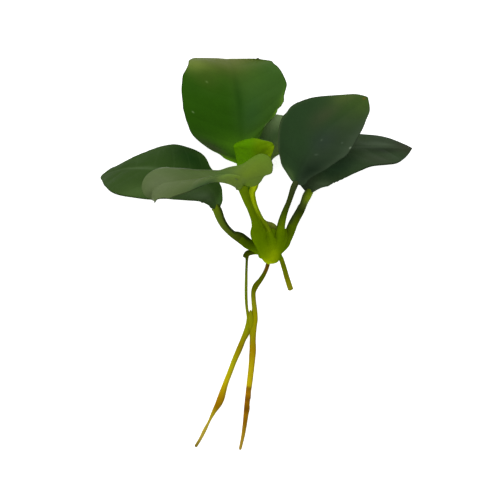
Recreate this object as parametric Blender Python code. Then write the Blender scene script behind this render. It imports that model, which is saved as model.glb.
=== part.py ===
"""A bare-root anubias plantlet, lying on its back on a table: seven leaves on their stalks, a bud,
a short green rhizome and three roots. Metres, +Z up; +Y runs from the roots towards the top leaf."""

import math
from dataclasses import dataclass

import bmesh
import bpy
from mathutils import Vector

# Lengths and places are in millimetres up to where an object is made
MM = 0.001

# How thick every blade is along its midrib at the stalk and at its margin, and how broad the thick part is
RIB_DEPTH = 1.5
MARGIN_DEPTH = 0.42
RIB_HALF_WIDTH = 1.3
RIB_TAPER = 0.72

# How a blade is divided, and how its rows sweep towards the tip as its side veins do
ROWS = 14
HALF_COLUMNS = 5
COLUMN_CROWDING = 1.25
VEIN_SWEEP = 0.17
VEIN_BEND = 1.4

# The outline that the blades share: where they are widest, and how round their bases and tips are
WIDEST_EARLY = 0.93
BASE_ROUNDNESS = 0.6
TIP_POINT = 0.3
LOBE_REACH = 0.4

# How the margins wave up and down
RIPPLE = 0.25
RIPPLE_WAVES = 2.5
RIGHT_RIPPLE_LAG = 2.0

# Stretches between two stations of a stalk or root and of a midrib, and how finely round pieces are divided
TUBE_STRETCHES = 2
LINE_STRETCHES = 12
SLIM_SIDES_LEVEL = 2
RHIZOME_SIDES_LEVEL = 4
WELD = 0.01


@dataclass
class Leaf:
    """One leaf. Its midrib runs from the stalk to the tip, and faces says which way the upper face looks at
    even steps along it. Widths has the half-widths left and right of the midrib, seen from above with the
    tip ahead, at even steps along the margin, before the blade is rounded off at both ends. Lobe is how far
    the base reaches back beside the stalk, as a share of the length. Cup is how far the margins rise, as a
    share of the width. A leaf that folds over has the places of its two margins instead of widths, and arch
    is how far its face bulges between them and the midrib. A stalk's stations are x, y, z and radius, from
    the rhizome to the blade."""

    colour: tuple
    midrib: list
    faces: list
    stalk: list
    widths: tuple = ()
    lobe: float = 0.06
    cup: float = 0.0
    left_margin: tuple = ()
    right_margin: tuple = ()
    arch: float = 0.0


LEAVES = {
    "top": Leaf(
        colour=(0.045, 0.12, 0.02),
        midrib=[
            (-4.4, 27.1, 10), (-4.8, 34.3, 13.5), (-6, 46.2, 15.5), (-7.4, 55.2, 13), (-9.6, 60, 7),
            (-9.1, 59.5, 0.2),
        ],
        faces=[(-0.06, -0.2, 0.98), (0.05, 0.01, 1), (0.03, 0.92, 0.4), (0, 1, -0.1)],
        stalk=[
            (1.4, 6.5, 10.8, 1.22), (-0.3, 10.8, 10.3, 1.15), (-2.1, 15.7, 9.8, 1.07),
            (-3.7, 21.3, 9.6, 1.01), (-4.4, 26.1, 9.9, 1.07),
        ],
        widths=[
            (13.4, 6.8), (18.7, 7), (18.1, 10.1), (16.9, 14.4), (17.5, 15.6), (18.7, 17.8), (20.9, 20.5),
            (23.1, 23.2),
        ],
        lobe=-0.01,
        cup=-0.03,
    ),
    "left": Leaf(
        colour=(0.045, 0.12, 0.02),
        midrib=[
            (-12, 13.8, 14), (-14.6, 19.3, 17), (-21.3, 23.5, 18), (-32.4, 25.9, 13.5), (-41, 26.4, 7.1),
            (-47.5, 26.5, 1),
        ],
        faces=[(0.17, 0.51, 0.85), (-0.03, 0.75, 0.66), (-0.17, 0.86, 0.48)],
        stalk=[
            (-1.4, 2.3, 11, 1.6), (-3.1, 2.9, 11.2, 1.6), (-5.5, 4.6, 11.6, 1.5), (-8, 5.9, 12, 1.07),
            (-10.2, 8.1, 12.6, 1.1), (-11.6, 10.5, 13.3, 1.22), (-12.4, 13, 13.8, 1.43),
        ],
        widths=[
            (5, 6.2), (6.6, 5.6), (9.5, 9.6), (13.4, 12.2), (15.2, 14.5), (16.8, 16.6), (17.8, 18.3),
            (20.2, 20.5),
        ],
        lobe=0.05,
        cup=-0.02,
    ),
    "front": Leaf(
        colour=(0.12, 0.2, 0.06),
        midrib=[
            (-4.3, 20, 29.8), (-4.6, 22.1, 32.5), (-7.1, 23.1, 35), (-11.4, 22.7, 37.7),
            (-17.1, 21.9, 40.5), (-22.8, 21.2, 43), (-27.8, 20.2, 45), (-30.7, 18, 45.3),
            (-30.2, 15.3, 42.5),
        ],
        faces=[(-0.2, 0.7, 0.7), (-0.2, 0.95, 0.3), (-0.1, 1, 0.2), (-0.2, 0.9, 0.45), (-0.5, 0.7, 0.6)],
        stalk=[
            (1.3, 3.8, 15.6, 1.36), (0.4, 5.6, 16.6, 2.04), (-0.3, 8, 17.8, 1.81),
            (-0.8, 10.4, 19.3, 1.35), (-2.1, 13.2, 21.8, 1.17), (-3.4, 16.1, 25, 1.13),
            (-4.4, 19.3, 29.3, 1.32),
        ],
        left_margin=[
            (-4.3, 20, 29.8), (-5.9, 19.2, 31.5), (-8.3, 20.1, 35.5), (-10.8, 20.6, 40.5),
            (-13.6, 20.5, 44.5), (-16.4, 19.5, 47.5), (-19.7, 18, 49.5), (-23.4, 16.8, 50.3),
            (-26.7, 16.2, 50), (-29.1, 15.7, 48), (-30.5, 15.5, 45), (-30.2, 15.3, 42.5),
        ],
        right_margin=[
            (-4.3, 20, 29.8), (-2.1, 20, 29.5), (0.5, 21.5, 29), (3.2, 23.7, 28.5), (4.1, 25.9, 28.2),
            (3.4, 28.5, 27.6), (1.1, 29.7, 27.2), (-1.2, 29.1, 27), (-4.2, 26.8, 27.3), (-8, 25.6, 28),
            (-12.1, 24.4, 29), (-16.2, 24.3, 30.5), (-20.3, 24.7, 32.5), (-24.3, 25.1, 35),
            (-27.9, 25.2, 38), (-30.9, 24, 41), (-32.9, 21.9, 43.5), (-33.6, 19.2, 45),
            (-32.7, 16.8, 44.6), (-30.2, 15.3, 42.5),
        ],
        arch=1.0,
    ),
    "young": Leaf(
        colour=(0.1, 0.25, 0.01),
        midrib=[
            (-0.6, 21.6, 16), (-1.4, 26.9, 19.5), (-1.5, 31.8, 22.5), (-1.6, 34.7, 20.8),
            (-1.4, 34.1, 15.6),
        ],
        faces=[(0, -0.53, 0.85), (0, -0.3, 0.95), (0, 0.96, 0.29), (0, 0.96, -0.1)],
        stalk=[
            (4, 4.3, 15.4, 0.76), (2.7, 7.4, 15.2, 0.91), (1.2, 9.9, 14.9, 0.91),
            (-0.4, 13.2, 14.7, 0.91), (-1.4, 16.2, 14.8, 0.91), (-1.7, 18.6, 15.4, 0.98),
            (-0.9, 20.6, 15.9, 1.13),
        ],
        widths=[(4, 4), (5.2, 5.2), (5.4, 5.4), (6.4, 6.7), (7.4, 7.6), (8.4, 8.4)],
        lobe=0.06,
        cup=-0.25,
    ),
    "under": Leaf(
        colour=(0.05, 0.08, 0.04),
        midrib=[(0.2, 26.4, 3.7), (3.2, 31.8, 5.2), (7.8, 36.4, 5.2), (15, 39, 3.6), (22.8, 40.6, 0.8)],
        faces=[(0, 0, 1), (0, 0.2, 0.98)],
        stalk=[
            (1.7, 6.9, 7.2, 1.16), (-0.2, 11.2, 6.1, 1.08), (-1.8, 16.2, 4.9, 1.01),
            (-1.5, 21.5, 4, 0.93), (0, 25.7, 3.7, 0.93),
        ],
        widths=[
            (2.2, 2.2), (3.1, 3.2), (4.3, 3.8), (7.2, 6.4), (5, 5.2), (4.3, 4.3), (3.8, 3.8), (3.4, 3.4),
        ],
        lobe=0.04,
        cup=0.0,
    ),
    "right": Leaf(
        colour=(0.03, 0.07, 0.02),
        midrib=[(11.2, 21, 18), (14.4, 28.6, 23), (19.2, 35.9, 25), (26.6, 42.2, 24), (32.8, 47.2, 19)],
        faces=[(-0.04, 0.02, 1), (-0.03, 0.04, 1), (0.18, 0.2, 0.96)],
        stalk=[
            (6.4, 4.9, 13.7, 1.22), (6.6, 6.4, 13.8, 1.37), (6.8, 8.4, 14, 1.21), (7.4, 10.8, 14.6, 0.91),
            (8.2, 13.2, 15.2, 0.79), (9.1, 15.3, 15.8, 0.71), (10, 17.7, 16.7, 0.77),
            (10.9, 20.4, 17.7, 0.9),
        ],
        widths=[
            (5.6, 7.4), (7.4, 5), (10.8, 7.2), (13, 9.2), (11.1, 9.5), (9.5, 9.1), (9.1, 9.9),
            (12.1, 14.1),
        ],
        lobe=0.06,
        cup=0.03,
    ),
    "far_right": Leaf(
        colour=(0.03, 0.07, 0.02),
        midrib=[
            (15.2, 18.5, 10.2), (18.1, 26, 12.2), (26.3, 31.9, 12.2), (34.6, 32.9, 9.5), (48, 32.8, 2.6),
        ],
        faces=[(-0.1, 0.54, 0.83), (-0.08, 0.86, 0.5), (0.08, 0.76, 0.65)],
        stalk=[
            (8.5, 2.9, 9.2, 1.07), (8.9, 4.3, 9.3, 1.47), (9.8, 6.2, 9.6, 1.5), (10.5, 8.5, 9.6, 1.44),
            (11.5, 10.8, 9.6, 1.35), (12.9, 13, 9.7, 0.95), (14, 15.6, 10, 1.07),
            (15.1, 17.8, 10.1, 1.22),
        ],
        widths=[
            (7, 6), (8.8, 8.3), (11.1, 11.3), (12.6, 13.2), (12.6, 12.4), (12.5, 13), (12.9, 12.7),
            (13.3, 13.2),
        ],
        lobe=0.02,
        cup=-0.05,
    ),
}

# Stations of the rhizome, the bud and the roots: x, y, z and radius
RHIZOME = [
    (3.3, -3.3, 10, 0.61), (3.4, -2, 10.1, 2.14), (3.7, 0.1, 10.4, 3.37), (3.7, 2.3, 10.8, 3.67),
    (3.6, 4.1, 11, 2.6), (3.5, 5, 11.1, 1.07),
]
BUD = [(5.3, 5.8, 10.4, 0.69), (4.7, 6.9, 10.5, 1.22), (3.7, 8.2, 10.5, 1.3), (2.5, 9.4, 10.5, 0.61)]
ROOTS = {
    "main": [
        (3.1, -3.9, 9.6, 0.67), (2.4, -5.7, 8.4, 0.71), (1, -8.1, 7, 0.8), (-0.6, -10, 5.8, 0.93),
        (-1.3, -12, 4.6, 0.84), (-1.2, -14.8, 3, 0.76), (-0.9, -17.7, 1.8, 0.81),
        (-0.9, -20.5, 1.2, 0.87), (-1.2, -23.3, 0.9, 0.87), (-1.5, -27.1, 1, 0.97),
        (-1.5, -30.2, 1.1, 1.03), (-1.8, -34, 1, 0.94), (-2.2, -38, 0.9, 0.9), (-2.6, -41.4, 0.9, 0.87),
        (-3, -44.6, 0.8, 0.8), (-3.4, -48.9, 0.9, 0.83), (-3.9, -52.7, 0.7, 0.69),
        (-4.5, -56.8, 0.6, 0.59), (-5.5, -61, 0.5, 0.47),
    ],
    "slender": [
        (-0.6, 0.4, 8.8, 0.68), (-2.1, 0.3, 8.7, 0.77), (-3.4, -0.1, 8.4, 0.91), (-3.6, -1.7, 7.8, 0.58),
        (-3.6, -5.2, 6.6, 0.49), (-3.6, -8.9, 5.3, 0.59), (-3.6, -13.9, 3.6, 0.65),
        (-3.3, -17.4, 2.4, 0.65), (-2.8, -20.2, 1.6, 0.69), (-3.3, -23.3, 1, 0.81),
        (-4.5, -27.1, 0.9, 0.84), (-5.9, -30.2, 0.9, 0.84), (-7.1, -33.3, 0.8, 0.81),
        (-8.7, -37.2, 0.8, 0.81), (-10.2, -41.1, 0.9, 0.87), (-11.3, -44.8, 1.2, 1.15),
        (-12.2, -47.2, 1.1, 1.04), (-13.5, -49.4, 0.7, 0.66), (-15, -52.4, 0.5, 0.37),
        (-16.3, -55, 0.6, 0.56), (-17.8, -57.9, 0.6, 0.55), (-19.1, -60.2, 0.6, 0.56),
    ],
    "stub": [(7.3, -1.6, 9, 0.68), (8.1, -4.5, 7.2, 0.74), (9, -8, 5.6, 0.8), (10, -11.2, 4.3, 0.84)],
}

STALK_GREEN = (0.16, 0.28, 0.01)
RHIZOME_GREEN = (0.27, 0.38, 0.01)
BUD_OLIVE = (0.08, 0.11, 0.03)
ROOT_YELLOW = (0.4, 0.32, 0.02)
LEAF_ROUGHNESS = 0.35
STALK_ROUGHNESS = 0.4
ROOT_ROUGHNESS = 0.5


def clear_scene():
    for old in list(bpy.data.objects):
        bpy.data.objects.remove(old)


def finish(name, colour, roughness):
    """A plain material of that colour."""
    material = bpy.data.materials.new(name)
    material.use_nodes = True
    shader = material.node_tree.nodes["Principled BSDF"]
    shader.inputs["Base Color"].default_value = (*colour, 1)
    shader.inputs["Roughness"].default_value = roughness
    shader.inputs["Metallic"].default_value = 0
    return material


def place(name, data, material):
    made = bpy.data.objects.new(name, data)
    made.data.materials.append(material)
    bpy.context.scene.collection.objects.link(made)
    return made


def between(before, start, end, after, t):
    """The values at t, from 0 to 1, on the smooth stretch from start to end."""
    values = []
    for a, b, c, d in zip(before, start, end, after):
        slope_in, slope_out = (c - a) / 2, (d - b) / 2
        square = 3 * (c - b) - 2 * slope_in - slope_out
        cube = 2 * (b - c) + slope_in + slope_out
        values.append(b + slope_in * t + square * t**2 + cube * t**3)
    return tuple(values)


def smooth_line(stations, stretches):
    """Points of a smooth curve through the stations, whose values past x, y and z run as smoothly."""
    line = []
    last = len(stations) - 1
    for i in range(last):
        neighbours = (stations[max(i - 1, 0)], stations[i], stations[i + 1], stations[min(i + 2, last)])
        line += [between(*neighbours, step / stretches) for step in range(stretches)]
    line.append(tuple(map(float, stations[-1])))
    return line


class Line:
    """A smooth line through stations. A share of its length, from 0 to 1, gives a place on it."""

    def __init__(self, stations):
        self.points = [Vector(p) for p in smooth_line(stations, LINE_STRETCHES)]
        self.lengths = [0.0]
        for a, b in zip(self.points, self.points[1:]):
            self.lengths.append(self.lengths[-1] + (b - a).length)

    def at(self, share):
        """The point there, and the way ahead."""
        wanted = min(max(share, 0.0), 1.0) * self.lengths[-1]
        last = len(self.points) - 1
        i = 1
        while i < last and self.lengths[i] < wanted:
            i += 1
        low, high = self.lengths[i - 1], self.lengths[i]
        point = self.points[i - 1].lerp(self.points[i], (wanted - low) / (high - low))
        ahead = (self.points[min(i + 1, last)] - self.points[max(i - 2, 0)]).normalized()
        if share < 0:
            point = point + ahead * (share * self.lengths[-1])
        return point, ahead


class Blade:
    """The upper face of a leaf's blade, on which u and v give a place. u runs from 0 at the stalk to 1 at
    the tip, measured at the margin, and v from -1 at the left margin over 0 on the midrib to 1 at the right
    one."""

    def __init__(self, leaf):
        self.leaf = leaf
        self.midrib = Line(leaf.midrib)
        self.faces = [Vector(f) for f in smooth_line(leaf.faces, LINE_STRETCHES)]
        self.margins = [Line(margin) for margin in (leaf.left_margin, leaf.right_margin) if margin]

    def frame(self, along):
        """The midrib's point at that share of its length, and the ways across the leaf and out of it."""
        point, ahead = self.midrib.at(along)
        step = min(max(along, 0.0), 1.0) * (len(self.faces) - 1)
        i = min(int(step), len(self.faces) - 2)
        face = self.faces[i].lerp(self.faces[i + 1], step - i)
        across = ahead.cross(face).normalized()
        return point, across, across.cross(ahead).normalized()

    def half_width(self, u, side):
        """The half-width at u, left on side 0 and right on side 1."""
        if not 0 < u < 1:
            return 0.0
        widths = self.leaf.widths
        last = len(widths) - 1
        i = min(int(u * last), last - 1)
        neighbours = (widths[max(i - 1, 0)], widths[i], widths[i + 1], widths[min(i + 2, last)])
        rounded = math.sin(math.pi * u**WIDEST_EARLY) ** (BASE_ROUNDNESS + TIP_POINT * u)
        return between(*neighbours, u * last - i)[side] * rounded

    def place(self, u, v):
        t = abs(v)
        side = int(v > 0)
        inner = u - VEIN_SWEEP * math.sin(math.pi * u)
        if self.margins:
            point, _, out = self.frame(inner)
            edge, _ = self.margins[side].at(u)
            return point.lerp(edge, t) + out * (self.leaf.arch * 4 * t * (1 - t) * math.sin(math.pi * u))
        outer = u - self.leaf.lobe * math.sin(math.pi * min(u / LOBE_REACH, 1))
        point, across, out = self.frame(inner + (outer - inner) * t**VEIN_BEND)
        width = self.half_width(u, side)
        wave = math.sin(math.tau * RIPPLE_WAVES * u + RIGHT_RIPPLE_LAG * side) * math.sin(math.pi * u)
        lift = (self.leaf.cup * width + RIPPLE * wave) * t**2
        return point + across * math.copysign(width * t, v) + out * lift


def depth_share(u, from_midrib):
    """How thick the blade is, as a share of the rib's depth at the stalk."""
    rib = (1 - RIB_TAPER * u) * math.exp(-((from_midrib / RIB_HALF_WIDTH) ** 2))
    thin = MARGIN_DEPTH / RIB_DEPTH
    return thin + (1 - thin) * rib


def make_blade(name, leaf):
    """A grid laid along the leaf's upper face and made solid below it. Each point's weight gives the depth
    there, and the offset is 1 because the grid's own faces look down."""
    face = Blade(leaf)
    bm = bmesh.new()
    bmesh.ops.create_grid(bm, x_segments=ROWS, y_segments=2 * HALF_COLUMNS, size=1.0)
    shares = bm.verts.layers.float.new("depth")
    for vert in bm.verts:
        u = (vert.co.x + 1) / 2
        v = math.copysign(abs(vert.co.y) ** COLUMN_CROWDING, vert.co.y)
        here = face.place(u, v)
        vert[shares] = depth_share(u, (here - face.place(u, 0.0)).length)
        vert.co = here * MM
    bmesh.ops.remove_doubles(bm, verts=bm.verts, dist=WELD * MM)
    weights = [vert[shares] for vert in bm.verts]
    mesh = bpy.data.meshes.new(name)
    bm.to_mesh(mesh)
    bm.free()
    mesh.shade_smooth()
    made = place(name, mesh, finish(name, leaf.colour, LEAF_ROUGHNESS))
    group = made.vertex_groups.new(name="depth")
    for index, share in enumerate(weights):
        group.add([index], share, "REPLACE")
    thickness = made.modifiers.new("thickness", "SOLIDIFY")
    thickness.thickness = RIB_DEPTH * MM
    thickness.offset = 1
    thickness.vertex_group = group.name


def make_tube(name, stations, material, sides_level=SLIM_SIDES_LEVEL):
    """A round solid along a smooth curve through the stations, as thick at each as its radius says."""
    line = smooth_line(stations, TUBE_STRETCHES)
    curve = bpy.data.curves.new(name, "CURVE")
    curve.dimensions = "3D"
    curve.bevel_depth = MM
    curve.bevel_resolution = sides_level
    curve.use_fill_caps = True
    spline = curve.splines.new("POLY")
    spline.points.add(len(line) - 1)
    for point, (x, y, z, radius) in zip(spline.points, line):
        point.co = (x * MM, y * MM, z * MM, 1)
        point.radius = radius
    place(name, curve, material)


def main():
    clear_scene()
    stalk_green = finish("stalk_green", STALK_GREEN, STALK_ROUGHNESS)
    for name, leaf in LEAVES.items():
        make_blade("leaf_" + name, leaf)
        make_tube("stalk_" + name, leaf.stalk, stalk_green)
    rhizome_green = finish("rhizome_green", RHIZOME_GREEN, STALK_ROUGHNESS)
    make_tube("rhizome", RHIZOME, rhizome_green, RHIZOME_SIDES_LEVEL)
    make_tube("bud", BUD, finish("bud_olive", BUD_OLIVE, STALK_ROUGHNESS))
    root_yellow = finish("root_yellow", ROOT_YELLOW, ROOT_ROUGHNESS)
    for name, stations in ROOTS.items():
        make_tube("root_" + name, stations, root_yellow)


if __name__ == "__main__":
    main()
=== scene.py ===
"""An anubias plantlet lying on its back on a pale table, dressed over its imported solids: seven leaves on
their stalks, the crown that their sheaths make, a bud and three roots, then the table, lights and camera."""

import math
from dataclasses import dataclass

import bmesh
import bpy
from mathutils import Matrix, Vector


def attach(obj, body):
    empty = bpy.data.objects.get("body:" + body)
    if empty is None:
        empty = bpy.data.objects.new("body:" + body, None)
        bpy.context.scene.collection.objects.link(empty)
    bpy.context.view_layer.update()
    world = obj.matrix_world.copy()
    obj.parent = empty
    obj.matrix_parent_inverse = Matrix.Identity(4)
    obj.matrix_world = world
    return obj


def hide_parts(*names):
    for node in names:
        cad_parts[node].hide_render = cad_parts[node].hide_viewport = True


bl_info = {
    "name": "Anubias Plantlet",
    "version": (1, 0, 0),
    "blender": (4, 5, 0),
    "location": "3D View > Sidebar > Anubias",
    "description": "Leaves, stalks, crown, bud and roots of a bare-root anubias plantlet on a pale table",
    "category": "Add Mesh",
}

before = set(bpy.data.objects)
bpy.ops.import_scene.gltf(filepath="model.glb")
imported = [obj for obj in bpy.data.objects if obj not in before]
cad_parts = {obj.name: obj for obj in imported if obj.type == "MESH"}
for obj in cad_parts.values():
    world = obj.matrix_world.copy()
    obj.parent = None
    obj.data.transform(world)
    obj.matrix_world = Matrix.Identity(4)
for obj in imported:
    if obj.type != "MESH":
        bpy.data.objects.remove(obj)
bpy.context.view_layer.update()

# Lengths and places are in millimetres up to where a mesh is made
MM = 0.001

# How bright the studio light leaves a white surface that faces up
STUDIO_LIGHT = 1.3

# How a blade is divided, and how its rows sweep towards the tip as its side veins do
ROWS = 110
HALF_COLUMNS = 30
COLUMN_CROWDING = 1.25
VEIN_SWEEP = 0.17
VEIN_BEND = 1.4

# The outline that the blades share: where they are widest, and how round their bases and tips are
WIDEST_EARLY = 0.93
BASE_ROUNDNESS = 0.6
TIP_POINT = 0.3
LOBE_REACH = 0.4

# How the margins wave up and down
RIPPLE = 0.25
RIPPLE_WAVES = 2.5
RIGHT_RIPPLE_LAG = 2.0

# How far along a blade its rib has its full depth
RIB_START = 0.1

# The groove over the midrib: how wide it is, and how much of its depth is gone at the tip
GROOVE_WIDTH = 0.6
GROOVE_FADE = 0.8

# How far the left and right side veins are out of step, and how wide and strong their wandering is
VEIN_STEP = 0.2
VEIN_WANDER_SIZE = 9
VEIN_WANDER = 0.15

# Where side veins start and are clear, counted from the midrib, and where they fade before the margin
VEIN_START = (0.3, 3)
VEIN_END = (1.0, 0.8)

# How wide a side vein is, as a share of the way between two: in the relief, in the colour and in the bumps
VEIN_RELIEF = 0.07
VEIN_LINE = 0.06
VEIN_BUMP = 0.05
UNDER_VEIN_LINE = 0.07
UNDER_VEIN_BUMP = 0.08

# How large the unevenness of a blade and the lumps of a strand are
UNEVENNESS_SIZE = 6
LUMP_SIZE = 1.2

# How long the grain of a strand is drawn out: less is longer
GRAIN_STRETCH = 0.3

# A stalk runs on below the blade: places along the midrib, each with its share of the radius, and how deep
STALK_TAPER = ((0.03, 0.8), (0.08, 0.55), (0.14, 0.3))
STALK_SINK = 0.4

# The first seed of the lumps of each kind of strand
STALK_SEED = 10.0
SHEATH_SEED = 30.0
BUD_SEED = 50.0
ROOT_SEED = 60.0
WEB_SEED = 70.0

# Stretches between two stations of a strand and of a midrib
STRAND_STRETCHES = 10
LINE_STRETCHES = 12

# Steps of a strand's rounded end, and the share of the radius that is left at its tip
DOME_STEPS = 6
DOME_TIP = 0.03

# How near to each other two points are welded
WELD = 0.01


@dataclass
class Leaf:
    """One leaf. Its midrib runs from the stalk to the tip, and faces says which way the upper face looks at
    even steps along it. Widths has the half-widths left and right of the midrib, seen from above with the tip
    ahead, at even steps along the margin, before the blade is rounded off at both ends. Lobe is how far the
    base reaches back beside the stalk, as a share of the length. Cup is how far the margins rise, as a share
    of the width, in a curve, and keel how far they rise straight. A leaf that folds over has the places of
    its two margins instead of widths, and arch is how far its face bulges between them and the midrib. A
    stalk's stations are x, y, z and radius, from the rhizome to the blade. Nicks are side, place along, reach
    along and how far the margin stands out there."""

    midrib: list
    faces: list
    stalk: list
    widths: tuple = ()
    lobe: float = 0.06
    cup: float = 0.0
    keel: float = 0.0
    left_margin: tuple = ()
    right_margin: tuple = ()
    arch: float = 0.0
    nicks: tuple = ()


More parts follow.
